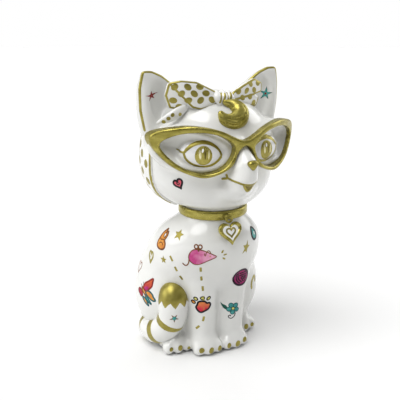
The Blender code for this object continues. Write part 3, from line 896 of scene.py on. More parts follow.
class Paint:
    """Paint of one colour on one surface: raised lines and patches that together make up a piece."""

    def __init__(self, surface, layer=1):
        self.surface, self.base = surface, LIFT * (layer - 1)
        self.points, self.faces = [], []

    def line(self, path, width, closed=False, taper=True):
        """A brush line that keeps to the surface near a path of x, y, z points; width may vary along it."""
        path = [tuple(p) for p in path]
        longest = max((Vector(a) - Vector(b)).length for a, b in zip(path, path[1:]))
        steps = max(2, math.ceil(longest / BRUSH_STEP))
        path = loop_through(path, steps) if closed else along(path, steps)
        found = [self.surface.nearest(p) for p in path]
        n = len(found)
        rows = []
        stated = width if isinstance(width, tuple) else (width, width)
        widths = np.interp(np.linspace(0, 1, n), np.linspace(0, 1, len(stated)), stated)
        for i, (place, _) in enumerate(found):
            around = [found[j % n if closed else min(max(j, 0), n - 1)] for j in range(i - 2, i + 3)]
            normal = sum((f[1] for f in around), Vector()).normalized()
            ahead = (around[3][0] - around[1][0]).normalized()
            side = normal.cross(ahead).normalized()
            half = FLOW * widths[i] / 2
            if taper and not closed:
                half *= min(1.0, 0.3 + 0.7 * min(i, n - 1 - i) * BRUSH_STEP / max(half, 0.1))
            spots = [self.surface.over(place + side * (k * half), normal)[0] for k, _ in CROWN]
            row = [spot + normal * (self.base + LIFT * share) for spot, (_, share) in zip(spots, CROWN)]
            rows.append(row + [spots[-1] - normal * SINK, spots[0] - normal * SINK])
        base, m = len(self.points), len(rows[0])
        self.points += [tuple(p) for row in rows for p in row]
        for i in range(n if closed else n - 1):
            a, b = base + i * m, base + (i + 1) % n * m
            self.faces += [[a + k, a + (k + 1) % m, b + (k + 1) % m, b + k] for k in range(m)]
        if not closed:
            last = base + (n - 1) * m
            self.faces += [list(range(base + m - 1, base - 1, -1)), list(range(last, last + m))]

    def patch(self, spot, outline):
        """A filled outline, in millimetres across and up from a spot."""
        edge = []
        for a, b in zip(outline, outline[1:] + outline[:1]):
            parts = max(1, math.ceil(math.dist(a, b) / BRUSH_STEP))
            edge += [(a[0] + (b[0] - a[0]) * t / parts, a[1] + (b[1] - a[1]) * t / parts)
                     for t in range(parts)]
        xs, ys = zip(*edge)
        columns = np.arange(min(xs), max(xs), BRUSH_STEP)
        levels = np.arange(min(ys), max(ys), BRUSH_STEP)
        grid = [(x, y) for x in columns for y in levels]
        if grid:
            inner = outline_distance(np.array(grid), edge) < -0.4 * BRUSH_STEP
            grid = [g for g, keep in zip(grid, inner) if keep]
        places = [Vector(p) for p in edge + grid]
        flat, _, triangles = delaunay_2d_cdt(places, [], [list(range(len(edge)))], 1, 1e-5)[:3]
        rim = outline_distance(np.array([tuple(p) for p in flat]), edge) > -0.05
        base, n = len(self.points), len(flat)
        top, bottom = [], []
        for p, at_rim in zip(flat, rim):
            place, out = spot.at(p.x, p.y)
            top.append(tuple(place + out * (self.base + LIFT * (0.45 if at_rim else 1))))
            bottom.append(tuple(place - out * SINK))
        self.points += top + bottom
        borders = {}
        for triangle in triangles:
            self.faces.append([base + i for i in triangle])
            self.faces.append([base + n + i for i in reversed(triangle)])
            for a, b in zip(triangle, triangle[1:] + triangle[:1]):
                borders[(a, b)] = borders.get((a, b), 0) + 1
        for a, b in borders:
            if (b, a) not in borders:
                self.faces.append([base + b, base + a, base + n + a, base + n + b])

    def drawn(self, spot, path, width, closed=False):
        """A brush line given in millimetres across and up from a spot."""
        self.line([spot.at(a, b)[0] for a, b in path], width, closed)

    def mesh(self):
        """The paint as closed forms that face outwards."""
        bm = bmesh.new()
        verts = [bm.verts.new(p) for p in self.points]
        for face in self.faces:
            if len(set(face)) == len(face):
                bm.faces.new([verts[i] for i in face])
        loose = [v for v in bm.verts if not v.link_faces]
        bmesh.ops.delete(bm, geom=loose, context="VERTS")
        bmesh.ops.recalc_face_normals(bm, faces=bm.faces)
        bm.verts.index_update()
        found = [tuple(v.co) for v in bm.verts], [[v.index for v in face.verts] for face in bm.faces]
        bm.free()
        return found


def oval(width, height, points=28, centre=(0, 0), turn=0.0):
    spin = math.radians(turn)
    found = []
    for i in range(points):
        t = 2 * math.pi * i / points
        a, b = width / 2 * math.cos(t), height / 2 * math.sin(t)
        found.append((centre[0] + a * math.cos(spin) - b * math.sin(spin),
                      centre[1] + a * math.sin(spin) + b * math.cos(spin)))
    return found


def star(radius, waist=0.42, tips=5, uneven=0.08, seed=1):
    """A hand-painted star, its arms of slightly different lengths."""
    draw = np.random.default_rng(seed)
    found = []
    for i in range(2 * tips):
        r = radius * (waist if i % 2 else 1 + uneven * draw.uniform(-1, 1))
        a = math.pi / 2 + math.pi * i / tips
        found.append((r * math.cos(a), r * math.sin(a)))
    return found


# --- the white and gold pieces -----------------------------------------------------------------------------

bare = bare_head(Clay(*HEAD_BLOCK, 0.85))
solid_head = with_ears(bare)
body = body_mesh()
head = head_mesh(solid_head)
scarf = scarf_mesh(bare)
tail = tail_mesh()
eyes = {side: eye_mesh(side) for side in (-1, 1)}
loops = {side: loop_mesh(side) for side in (-1, 1)}
knot = knot_mesh()
scarf_end = scarf_end_mesh()
tag = tag_mesh()
SIDE_NAMES = {-1: "right", 1: "left"}

piece("body_glaze", body, GLAZE, replaces=("body_shell",))
piece("head_glaze", head, GLAZE, replaces=("head_shell", "ear_right", "ear_left"))
piece("tail_glaze", tail, GLAZE, replaces=("tail",))
piece("scarf_glaze", scarf, SCARF_GLAZE, replaces=("scarf_band",))
piece("knot_glaze", knot, SCARF_GLAZE, replaces=("bow_knot",))
piece("scarf_end_glaze", scarf_end, SCARF_GLAZE, replaces=("scarf_end",))
for side, name in SIDE_NAMES.items():
    piece("bow_glaze_" + name, loops[side], SCARF_GLAZE, replaces=("bow_loop_" + name,))
    piece("eyeball_" + name, eyes[side], EYE_WHITE, replaces=("eye_" + name,))
piece("glasses", glasses_mesh(), GOLD, replaces=("glasses_frame",))
piece("curl", curl_mesh(), GOLD, replaces=("forelock_curl",))
piece("nose_button", nose_mesh(), GOLD, replaces=("nose",))
piece("collar", collar_mesh(), GOLD, replaces=("collar_band",))
piece("tag_heart", tag, GOLD, replaces=("heart_tag",))
piece("tag_ring", bail_mesh(), GOLD, replaces=("tag_bail",))
piece("base_disc", floor_mesh_of_bank(), GLAZE, replaces=("floor_disc",))
piece("stopper_cup", plug_mesh(), RUBBER, "stopper", replaces=("stopper_plug",))
piece("pull_tab_grip", tab_mesh(), RUBBER, "pull_tab", replaces=("stopper_tab",))


# --- what is painted on them ---------------------------------------------------------------------------

SURFACES = {"body": Surface(body), "head": Surface(head), "scarf": Surface(scarf), "tail": Surface(tail),
            "bow_right": Surface(loops[-1]), "bow_left": Surface(loops[1]), "knot": Surface(knot),
            "scarf_end": Surface(scarf_end), "tag": Surface(tag),
            "eyes": Surface(eyes[-1], eyes[1], solid_head.mesh())}


def ink(name, colour, other, patch=260.0, **more):
    return look("paint_" + name, colour, other, 0.3, patch=patch, grain=1500.0, bump=0.08, gloss=0.16, **more)


INKS = {
    "gold": PAINTED_GOLD,
    "dark_gold": look("dark_gold", (0.10, 0.078, 0.012), (0.2, 0.16, 0.03), 0.35, metallic=0.6, patch=300.0,
                      grain=1100.0, bump=0.1),
    "iris_gold": look("iris_gold", (0.27, 0.225, 0.035), (0.46, 0.40, 0.10), 0.3, metallic=0.6, patch=260.0,
                      streak=(1, 1, 0.4), grain=900.0, bump=0.08),
    # pale gold, used only for the painted highlights on the irises
    "pale_gold": look("pale_gold", (0.62, 0.56, 0.26), (0.86, 0.82, 0.55), 0.3, metallic=0.5, patch=300.0,
                      grain=1100.0, bump=0.1),
    # white enamel and marks; on the irises a white dab is a painted highlight
    "white": ink("white", (0.84, 0.84, 0.82), (0.9, 0.9, 0.88)),
    "black": ink("black", (0.008, 0.007, 0.009), (0.02, 0.016, 0.02)),
    "green_black": ink("green_black", (0.006, 0.045, 0.035), (0.012, 0.10, 0.07)),
    "dark_red": ink("dark_red", (0.14, 0.012, 0.012), (0.30, 0.03, 0.02)),
    "brown": ink("brown", (0.13, 0.05, 0.02), (0.24, 0.09, 0.03)),
    "rose": ink("rose", (0.62, 0.07, 0.11), (0.78, 0.18, 0.22)),
    "mouse_pink": ink("mouse_pink", (0.50, 0.06, 0.22), (0.78, 0.40, 0.55),
                      fade=((-25, -26, 72), (-11, -33, 75))),
    "pad_red": ink("pad_red", (0.58, 0.025, 0.06), (0.66, 0.21, 0.06),
                   fade=((-15, -23, 33), (-15, -23, 39.5))),
    "wing_red": ink("wing_red", (0.36, 0.012, 0.05), (0.55, 0.10, 0.035), fade=((-44, 6, 41), (-43, 1, 52))),
    "magenta": ink("magenta", (0.30, 0.010, 0.10), (0.44, 0.03, 0.18)),
    "purple": ink("purple", (0.020, 0.004, 0.016), (0.04, 0.006, 0.028)),
    "teal": ink("teal", (0.025, 0.20, 0.20), (0.10, 0.42, 0.38)),
    "dark_teal": ink("dark_teal", (0.015, 0.075, 0.085), (0.03, 0.14, 0.14)),
    "orange": ink("orange", (0.50, 0.14, 0.025), (0.72, 0.36, 0.07)),
    "yellow_green": ink("yellow_green", (0.50, 0.50, 0.10), (0.66, 0.62, 0.18)),
}
PAINTS = {}


def brush(surface, colour, layer=1):
    key = (surface, colour, layer)
    if key not in PAINTS:
        PAINTS[key] = Paint(SURFACES[surface], layer)
    return PAINTS[key]


def spot(surface, centre, turn=0.0):
    return Spot(SURFACES[surface], centre, turn)


def dab(surface, colour, centre, width, height=None, turn=0.0, layer=1):
    """A filled oval."""
    brush(surface, colour, layer).patch(spot(surface, centre, turn), oval(width, height or width))


def painted_star(surface, colour, centre, radius, turn=0.0, waist=0.4, seed=1, layer=1):
    brush(surface, colour, layer).patch(spot(surface, centre, turn), star(radius, waist, seed=seed))


def framed(surface, place, outline, fill, edge, width, layer=1):
    """A filled outline with a line round it."""
    brush(surface, fill, layer).patch(place, outline)
    brush(surface, edge, layer + 1).drawn(place, outline, width, closed=True)


def from_ahead(surface, path, middle=0, side=1):
    """The places seen from straight ahead along a path, given outwards from a middle, and in height."""
    return [SURFACES[surface].front(middle + side * a, z) for a, z in path]


def tall_heart(width, height):
    return [(a, b * height / width) for a, b in heart_outline(width, 30)]


def hem_outline(balls, inset):
    """The outline, seen from straight ahead, of a tight skin round some balls, drawn in by an inset."""
    around = []
    for (x, _, z), radii in balls:
        wide, _, high = (max(r - inset, 0.1) for r in half_sizes(radii))
        around += [Vector((x + wide * math.cos(a), z + high * math.sin(a)))
                   for a in np.linspace(0, 2 * math.pi, 12, endpoint=False)]
    return [tuple(around[i]) for i in convex_hull_2d(around)]


def hem(surface, outline, width, keep):
    """A gold line on a surface along the places of an outline that are kept, seen from straight ahead."""
    kept = [keep(x, z) for x, z in outline]
    n = len(outline)
    first = next((i for i in range(n) if kept[i] and not kept[i - 1]), 0)
    run = [outline[(first + i) % n] for i in range(n) if kept[(first + i) % n]]
    found = [SURFACES[surface].ahead(x, z) for x, z in run]
    path = [hit[0] for hit in found if hit]
    if len(path) > 2:
        brush(surface, "gold").line(path, width, closed=all(kept))


# Ears: a gold line round each rim but for its inner foot, and a star in each dish.
for side in (-1, 1):
    hem("head", hem_outline(on_side(side, EAR), 1.0), 1.5,
        lambda x, z: abs(x) > EAR_RIM_FROM and z + abs(x) > EAR_RIM_LOW)
wide_star = [(1.9 * a, b) for a, b in star(3.1, 0.36, seed=2)]
brush("head", "dark_red").patch(spot("head", (-41.6, -6.7, 174.3), 8), wide_star)
for layer, (colour, radius, waist) in enumerate((("green_black", 4.6, 0.34), ("teal", 3.3, 0.5),
                                                 ("dark_red", 1.2, 0.4)), 1):
    painted_star("head", colour, (41.5, -6.2, 171.5), radius, -8, waist, 4, layer)

# Eyes, mouth and the heart on the cheek; the eye's places are outward from its middle, and height.
EYE_MIDDLE = {-1: -24.3, 1: 19.2}
EYE_HEIGHT = 141.6
UPPER_LID = [(11.2, 144.6), (9.9, 143.4), (8.3, 145.2), (5.3, 147.8), (1.6, 149.2), (-1.3, 149.3),
             (-4.8, 148.4), (-8.3, 146.2), (-10.6, 143.4), (-11.5, 140.8)]
LOWER_LID = [(9.7, 143.2), (8.8, 139.8), (6.2, 137.0), (2.9, 135.5), (-0.6, 134.9), (-4.8, 135.5),
             (-8.4, 137.6), (-11.5, 140.8)]
# The iris's two pale gold streaks and its white dab are painted highlights.
IRIS_PARTS = [            # colour, place from the iris's middle, width, height, turn, layer
    ("iris_gold", (0, 0, 0), 10.4, 11.6, 0, 1),
    ("gold", (1.0, 0, -0.4), 2.6, 7.6, 0, 2),
    ("dark_gold", (1.0, 0, 0.2), 1.0, 4.6, 0, 3),
    ("pale_gold", (-2.2, 0.2, 0.8), 1.5, 5.6, 4, 2),
    ("pale_gold", (3.3, 0.2, 0.6), 1.0, 5.6, -4, 2),
    ("white", (-0.6, -0.1, 3.2), 1.2, 2.4, -12, 3),
]
for side, middle in EYE_MIDDLE.items():
    brush("eyes", "gold").line(from_ahead("eyes", UPPER_LID, middle, side),
                               (0.6, 1.1, 1.6, 2.0, 2.2, 2.1, 1.8, 1.5, 1.3, 1.1))
    brush("eyes", "gold").line(from_ahead("eyes", LOWER_LID, middle, side), (1.2, 1.3, 1.2, 1.1, 1.2, 1.4))
    iris = SURFACES["eyes"].front(middle, EYE_HEIGHT)
    for colour, offset, width, height, turn, layer in IRIS_PARTS:
        dab("eyes", colour, iris + Vector(offset), width, height, turn, layer)
SMILE = [(9.2, 127.1), (7.4, 125.9), (4, 124.6), (0, 124.1)]
brush("head", "gold").line(from_ahead("head", [(-x, z) for x, z in SMILE] + SMILE[2::-1]),
                           (1.1, 1.3, 1.6, 1.7, 1.6, 1.3, 1.1))
for side in (-1, 1):
    brush("head", "gold").line(from_ahead("head", [(9.6, 129.4), (9.2, 127.1)], 0, side), 1.2)
    brush("head", "gold").line(from_ahead("head", [(12.0, 126.3), (9.2, 127.0)], 0, side), 1.1)
tongue = spot("head", SURFACES["head"].front(0.6, 122.2))
framed("head", tongue, [(-4.4, 2.3), (0, 1.6), (4.0, 2.5), (2.5, -0.9), (0, -2.9), (-2.3, -1.1)],
       "dark_gold", "gold", 1.1)
cheek = spot("head", (-33.6, -26.2, 122.8), 26)
framed("head", cheek, tall_heart(6.2, 6.8), "rose", "black", 1.0)
brush("head", "black", 2).drawn(cheek, [(-0.2, 1.5), (-0.9, 0.4), (-0.2, -0.9), (0.7, -0.2), (0.3, 0.5)], 0.5)

# Scarf: gold edge lines and dots; the rear line runs over the head from cheek to cheek.
BAND_AXIS_Z = 138
BAND_OUTSIDE = 70        # rays that meet the band start this far from its axis
BAND_FRONT = (84, 142)   # the band shows its front edge between these angles from the crown
BAND_REAR = 138          # its rear line ends at this one


def on_band(y, angle):
    """The place on the scarf at y and at an angle from the crown, in degrees, towards the cat's left."""
    a = math.radians(angle)
    outward = Vector((math.sin(a), 0, math.cos(a)))
    return SURFACES["scarf"].hit(Vector((0, y, BAND_AXIS_Z)) + BAND_OUTSIDE * outward, -outward)


for side in (-1, 1):
    path = [on_band(SCARF_Y[0] + 1.0, side * angle) for angle in range(BAND_FRONT[0], BAND_FRONT[1] + 1, 6)]
    brush("scarf", "gold").line([found[0] for found in path if found], 1.5)
rear = [on_band(SCARF_Y[1] - 1.0, angle) for angle in range(-BAND_REAR, BAND_REAR + 1, 6)]
brush("scarf", "gold").line([found[0] for found in rear if found], 1.3)
for row, y in enumerate((-2.4, 4.4, 10.0)):
    for i in range(-10, 11):
        angle = 14 * i + (7 if row % 2 else 0)
        found = on_band(y, angle)
        if found and (abs(angle) > BAND_FRONT[0] or row == 2) and abs(angle) < BAND_FRONT[1]:
            dab("scarf", "gold", found[0], 4.6, 5.4, 12 * ((i * 7) % 5))

# Bow: a hem round each lobe that the lobes before it leave in sight, then dots in staggered rows.
HEM_INSET = 0.8
for side, name in SIDE_NAMES.items():
    hidden_by = []
    for lobe in BOW_LOBES[side]:
        outline = hem_outline(lobe, HEM_INSET)

        def in_sight(x, z):
            return all(outline_distance(np.array([[x, z]]), other)[0] > 0.4 for other in hidden_by)

        hem("bow_" + name, outline, 1.1, in_sight)
        hidden_by.append(outline)
KNOT_STRIPES = (-8, -5.4, -3.2, -0.8, 1.6, 4)
KNOT_Z = 173
for x in KNOT_STRIPES:
    rays = [SURFACES["knot"].ahead(x + 0.25 * up, KNOT_Z + up) for up in (3, 1, -1, -3)]
    if all(rays):
        brush("knot", "gold").line([found[0] for found in rays], 1.0)


ROUND_A_DOT = ((0, 0), (1.5, 0), (-1.5, 0), (0, 1.3), (0, -1.3))   # a dot needs the surface at all of these
FACES_FRONT = -0.5


def rows_of_dots(surface, low, high, step, rise, width, height):
    """Dots in staggered rows on what faces the front, each turned a little further than the last."""
    for row, z in enumerate(np.arange(low[1], high[1], rise)):
        for i, x in enumerate(np.arange(low[0] + (step / 2 if row % 2 else 0), high[0], step)):
            found = [SURFACES[surface].ahead(x + a, z + b) for a, b in ROUND_A_DOT]
            if all(found) and found[0][1].y < FACES_FRONT:
                dab(surface, "gold", found[0][0], width, height, 25 * ((i + row) % 4) - 35)


rows_of_dots("bow_right", (-36, 168), (-8, 184), 7.4, 4.0, 4.9, 3.7)
rows_of_dots("bow_left", (9, 168), (31, 183), 7.0, 4.0, 4.4, 3.5)
rows_of_dots("scarf_end", (-40, 160), (-29, 166), 5.0, 2.0, 2.6, 2.2)

# The tag's enamel.
heart_face = Spot(SURFACES["tag"], TAG_PLACE @ Vector((0, 0, 1)))
brush("tag", "white").patch(heart_face, heart_outline(0.68 * TAG_WIDTH, 40))
brush("tag", "gold", 2).drawn(heart_face, heart_outline(0.38 * TAG_WIDTH, 24), 0.9, closed=True)

# The wind-up mouse and its trail of dashes.
MOUSE = [(-7.6, 2.8), (-5.5, 5.0), (-2.5, 5.5), (1, 4.9), (4, 3.6), (6.6, 2.2), (9.2, 0.3), (6.5, -1.3),
         (3.5, -2.6), (0.5, -4.2), (-2.5, -5.3), (-5.3, -5.0), (-7.8, -2.8), (-8.5, 0)]
MOUSE_KEY = [(1.6, 3.2), (2.1, 1.2), (3.0, 3.9), (4.2, 4.9), (5.5, 3.6), (4.8, 2.6)]
MOUSE_TAIL = [(-8.2, -1.6), (-8.6, -4.4), (-9.6, -6.3), (-10.9, -6.7), (-12.6, -5.2)]
mouse = spot("body", (-19.2, -29.7, 73.4))
framed("body", mouse, loop_through(MOUSE, 3), "mouse_pink", "brown", 0.45)
for a in (-3.6, -1.0):
    brush("body", "brown", 2).drawn(mouse, oval(2.3, 2.5, 12, (a, 7.3)), 0.6, closed=True)
brush("body", "brown", 2).drawn(mouse, [(-2.3, 7.0), (-2.1, 4.1)], 0.9)
brush("body", "brown", 2).drawn(mouse, MOUSE_KEY, 0.4)
brush("body", "orange", 2).patch(mouse, oval(0.9, 0.9, 12, (5.2, 1.0)))
brush("body", "brown", 2).drawn(mouse, MOUSE_TAIL, 0.6)
TRAILS = [                # routes seen from straight ahead, x and z: behind the mouse, and down the leg
    [(-34, 72), (-31, 63), (-26, 54)],
    [(-19, 66), (-16, 52), (-14.5, 38), (-14.5, 26), (-20, 17)],
]
DASH, DASH_GAP = 4.0, 3.6
for trail in TRAILS:
    route = from_ahead("body", along(trail, 40))
    gone = [0.0]
    for a, b in zip(route, route[1:]):
        gone.append(gone[-1] + (b - a).length)
    for start in np.arange(0, gone[-1] - DASH, DASH + DASH_GAP):
        brush("body", "gold").line([p for p, at in zip(route, gone) if start <= at <= start + DASH], 1.2)
for turn in (-35, 15, 65):      # three short strokes before the mouse's nose
    a = math.radians(turn)
    nose_tip = SURFACES["body"].front(-8.5, 74)
    stroke = [nose_tip + reach * Vector((math.cos(a), 0, math.sin(a))) for reach in (2.4, 4.8)]
    brush("body", "gold").line(stroke, 0.9)

# The cat's right side: stars, hearts, a doodle and a butterfly.
painted_star("body", "gold", (-28.5, -16.1, 86.2), 4.1, -6, 0.46, 3)
painted_star("body", "gold", (-36.3, -8.6, 68), 2.8, 4, 0.46, 5)
gold_heart = spot("body", (-39.3, 5, 66.5))
brush("body", "gold").drawn(gold_heart, tall_heart(5.4, 8.6), 1.2, closed=True)
brush("body", "gold").drawn(gold_heart, [(0.2, 1.8), (-0.2, -0.8)], 0.5)
brush("body", "brown").drawn(spot("body", (-41.5, 19, 55)), tall_heart(6.5, 9.0), 0.6, closed=True)
DOODLE = [(2.6, 7.2), (-0.5, 4.6), (-2.7, 1.1), (-4.5, -3.0), (-3.8, -5.2), (-1.5, -6.6), (1.5, -6.9),
          (3.6, -5.7), (4.1, -3.2), (3.2, -0.7), (4.2, 0.9), (4.9, 2.8), (4.4, 5.1), (2.9, 4.8)]
doodle = spot("body", (-34.3, -3.5, 80.6), 14)
framed("body", doodle, loop_through(DOODLE, 3), "orange", "brown", 0.9)
brush("body", "white", 2).patch(doodle, oval(1.4, 2.8, 16, (2.5, 2.6), -20))
brush("body", "brown", 3).drawn(doodle, oval(1.9, 3.3, 14, (2.5, 2.6), -20), 0.6, closed=True)
brush("body", "brown", 3).drawn(doodle, [(-2.4, 0.6), (-0.6, -0.6), (1.2, -0.4), (3.0, -0.9)], 0.55)
brush("body", "brown", 3).drawn(doodle, [(-2.2, -3.4), (-0.8, -2.4), (1.0, -2.8), (1.8, -4.4)], 0.5)
butterfly = spot("body", (-44.1, 6.4, 41.1))
WINGS = [                 # outline, fill, edge
    ([(-1.2, 2.6), (-0.3, 6.0), (2.7, 8.2), (6.6, 11), (6.5, 7.8), (6.2, 5.6), (4.4, 3.4), (1.8, 1.1)],
     "wing_red", "dark_red"),
    ([(1.5, 0.7), (4.1, 1.9), (7.1, 0.4), (8.3, -1.5), (9.8, -3.5), (7.7, -4.1), (4.7, -2.6), (2.4, -1.1)],
     "orange", "dark_teal"),
    ([(-5.6, 1.3), (-3, 0.4), (-1.8, -2.2), (-3, -3.7), (-5.3, -2.6), (-7.2, -0.4)], "wing_red", "dark_red"),
    ([(-1.5, -3.7), (0.9, -4.1), (3, -6.3), (4.1, -8.8), (1.5, -7.5), (-0.6, -5.6)], "orange", "dark_teal"),
    ([(1.2, -1.5), (2.7, -2.2), (6.4, -6.6), (4.7, -6.3), (2.1, -4.1)], "teal", "dark_teal"),
    ([(-3, 2.6), (-1.2, 2.2), (2.7, -1.5), (1.5, -2.1), (-1.8, 0.4)], "orange", "brown"),
]
for outline, fill, edge in WINGS:
    framed("body", butterfly, outline, fill, edge, 0.85)
brush("body", "magenta", 2).patch(butterfly, [(-0.6, 3.0), (1.6, 4.6), (3.6, 4.4), (3.2, 2.6), (1.4, 1.6)])
for path in ([(-2.6, 3.0), (-3.6, 3.6), (-4.6, 4.6)], [(-1.8, 3.2), (-1.7, 5.0), (-2.2, 6.6)]):
    brush("body", "black").drawn(butterfly, path, 0.4)

# The legs: a paw print, a ball of yarn and a flower.
PAD = [(-3.2, 3.4), (-1.2, 4.1), (1.0, 3.8), (2.4, 2.5), (4.2, 2.3), (4.9, 0.7), (3.6, -1.8), (1.0, -3.2),
       (-1.2, -4.1), (-3.0, -3.4), (-4.6, -1.0), (-3.9, 1.2)]
print_place = spot("body", (-14.6, -22.9, 36.0))
framed("body", print_place, loop_through(PAD, 3), "pad_red", "black", 1.0)
TOES = [((-6.3, 3.0), -50, "orange"), ((-4.9, 5.7), -42, "yellow_green"), ((-0.6, 6.4), 0, "yellow_green"),
        ((3.6, 5.7), 42, "yellow_green")]
for centre, turn, fill in TOES:
    brush("body", "black").patch(print_place, oval(3.5, 2.8, 20, centre, turn))
    brush("body", fill, 2).patch(print_place, oval(1.9, 1.3, 14, centre, turn))
yarn = Spot(SURFACES["body"], (13.5, -24.5, 52.3), reach=6, facing=(-0.12, -0.99, 0.08))
framed("body", yarn, oval(12.2, 11.4, 36, (-0.2, 0)), "magenta", "purple", 1.2)
STRANDS = [[(-3.9, 3.4), (-4.3, 0.5), (-3.2, -2.6), (-0.8, -4.4)],
           [(-2.6, 4.1), (-3.0, 1.0), (-1.9, -1.6), (0.4, -3.8)],
           [(-1.9, 3.1), (1.5, 3.3), (4.6, 3.3)], [(-2.1, 1.4), (1, 1.6), (4.9, 1.8)],
           [(-0.6, -0.2), (0.6, -1.9), (1.6, -3.4)], [(-0.4, 0.2), (2.2, 0.2), (4.6, 0.3)],
           [(1.2, -0.2), (1.8, -1.6), (3.2, -0.2)], [(3.9, -0.4), (3.3, -2.2), (2.0, -3.6)]]
for strand in STRANDS:
    brush("body", "purple", 2).drawn(yarn, strand, 0.8)
flower = spot("body", (8.2, -23.3, 29.9))
for i in range(5):
    turn = 90 + 72 * i + 30
    centre = (2.7 * math.cos(math.radians(turn)), 2.7 * math.sin(math.radians(turn)))
    framed("body", flower, oval(3.4, 3.1, 20, centre, turn), "teal", "dark_teal", 0.4)
brush("body", "yellow_green", 3).patch(flower, oval(1.9, 1.9, 14))
brush("body", "black", 3).drawn(flower, oval(2.1, 2.1, 12), 0.3, closed=True)
LEAF = [(-3.6, 0.2), (-4.4, 2.0), (-6.6, 3.0), (-8.4, 4.6), (-7.6, 2.2), (-6.4, 0.2), (-5.0, -0.8)]
TENDRIL = [(1.8, -3.4), (1.2, -5.7), (-0.8, -7.4), (-2.6, -7.0), (-3.0, -5.6), (-1.9, -5.1), (-1.4, -5.9)]
brush("body", "green_black").patch(flower, LEAF)
brush("body", "black").drawn(flower, TENDRIL, 0.5)

# The chest, the cat's left side and its back.
teal_spot = spot("body", (19.6, -29.3, 83.6))
TEAL_DROP = [(-1.2, 4.6), (-3.0, 2.4), (-3.4, -0.6), (-1.8, -3.2), (1.0, -4.2), (3.0, -2.6), (2.8, 0.6),
             (1.0, 3.2)]
framed("body", teal_spot, TEAL_DROP, "teal", "black", 1.1)
brush("body", "white", 2).patch(teal_spot, oval(1.5, 2.4, 14, (0.2, 0.2)))
narrow_star = [(0.66 * a, b) for a, b in star(5.2, 0.44, seed=7)]
brush("body", "gold").patch(spot("body", (11.3, -33.8, 76.4), -10), narrow_star)
SCROLL = [(-1.6, -4.6), (-2.6, -1.4), (-1.4, 2.2), (1.4, 4.0), (3.4, 2.6), (2.6, -0.6)]
brush("body", "gold").drawn(spot("body", (33.5, -8.5, 38.5)), SCROLL, 1.8)
brush("body", "gold").drawn(spot("body", (38.5, -3, 58)), tall_heart(8.0, 9.5), 1.4, closed=True)
painted_star("body", "gold", (39.5, 18, 66), 3.6, 8, 0.42, 9)
painted_star("body", "gold", (42.5, 14, 42), 2.8, -14, 0.42, 11)
framed("body", spot("body", (43, 26, 52), -12), tall_heart(6.4, 6.8), "rose", "black", 0.7)
framed("body", spot("body", (40, 36, 34), 10), tall_heart(5.6, 6.0), "teal", "dark_teal", 0.6)
painted_star("body", "gold", (-30, 46, 62), 3.4, 6, 0.42, 12)
painted_star("body", "gold", (16, 52, 66), 3.4, -6, 0.42, 13)
framed("body", spot("body", (-12, 56, 52), 14), tall_heart(6.8, 7.4), "rose", "black", 0.7)

# Claws: three on each front paw and on each hind foot.
PAW_CLAWS = [(3.7, -27, 4.3, 3.0, 4.2), (10.4, -27.4, 4.4, 3.7, 5.0), (16.8, -25.2, 5.2, 3.8, 3.9)]
FOOT_CLAWS = [(21.4, -15, 3.8, 2.2, 2.8), (28, -16, 5.4, 3.5, 4.1), (34, -14.2, 5.0, 2.9, 3.2)]
for side, back in FOOT_BACK.items():
    for x, y, z, width, height in PAW_CLAWS:
        dab("body", "gold", (side * x, y, z), width, height)
    for x, y, z, width, height in FOOT_CLAWS:
        dab("body", "gold", (side * x, y + back, z), width, height)

# Tail: a star under the gold tip.
painted_star("tail", "brown", (-34.2, -19.7, 30.1), 3.3, 180, 0.36, 6)
painted_star("tail", "teal", (-34.2, -19.7, 30.1), 1.9, 180, 0.5, 6, layer=2)


def tail_coat(keep):
    """A thin coat of gold on the tail wherever keep, a distance at each point, is negative."""
    clay = tail_clay()
    points = clay.points()
    skin = clay.field
    clay.field = smooth_max(np.maximum(skin - LIFT, -skin - 1.4), keep(points).astype(np.float32), 0.4)
    clay.cut(points[..., 2] - 0.6)
    return clay.mesh()


def ring_round(centre, direction, left, right):
    """Keeps a slab across the tail, of one half width on its -X side and another on its +X side."""
    along_tail = Vector(direction).normalized()

    def keep(points):
        away = points - np.array(centre)
        half = np.interp(away[..., 0], (-8, 8), (left, right))
        near = np.linalg.norm(away, axis=-1) - 15
        return np.maximum(np.abs(away @ np.array(along_tail)) - half, near)

    return keep


TIP_MIDDLE = (-30.3, -10)
TIP_Z = 38.2             # the gold tip's lower edge, a zigzag
TIP_TEETH = 9
TOOTH = 2.0


def gold_tip(points):
    """Keeps the tail above a zigzag line."""
    angle = np.arctan2(points[..., 1] - TIP_MIDDLE[1], points[..., 0] - TIP_MIDDLE[0])
    teeth = np.abs((angle * TIP_TEETH / math.pi + 0.4) % 2 - 1) * 2 - 1
    return TIP_Z + TOOTH * teeth - points[..., 2]


TAIL_RINGS = [            # centre, direction, half width on the -X side and on the +X side
    ((-12, 44.8, 13), (-0.95, -0.3, 0), 2.6, 2.6),
    ((-26.5, 32, 11), (-0.7, -0.7, 0), 2.6, 2.6),
    ((-34.4, 16.0, 10.4), (-0.30, -0.95, 0.02), 2.9, 2.9),
    ((-35.3, 1.6, 13.0), (0.22, -0.87, 0.44), 2.9, 2.6),
    ((-31.5, -8.1, 23.7), (0.21, -0.39, 0.90), 2.7, 1.3),
]
for number, ring in enumerate(TAIL_RINGS, 1):
    piece("tail_ring_" + str(number), tail_coat(ring_round(*ring)), PAINTED_GOLD)
piece("tail_tip_gold", tail_coat(gold_tip), PAINTED_GOLD)

for (surface, colour, layer), paint in PAINTS.items():
    name = surface + "_" + colour + ("" if layer == 1 else "_" + str(layer))
    piece(name, paint.mesh(), INKS[colour], sharp=35)


# --- camera, floor and light -----------------------------------------------------------------------------

def aim(thing, target):
    thing.rotation_euler = (Vector(target) - thing.location).to_track_quat("-Z", "Y").to_euler()


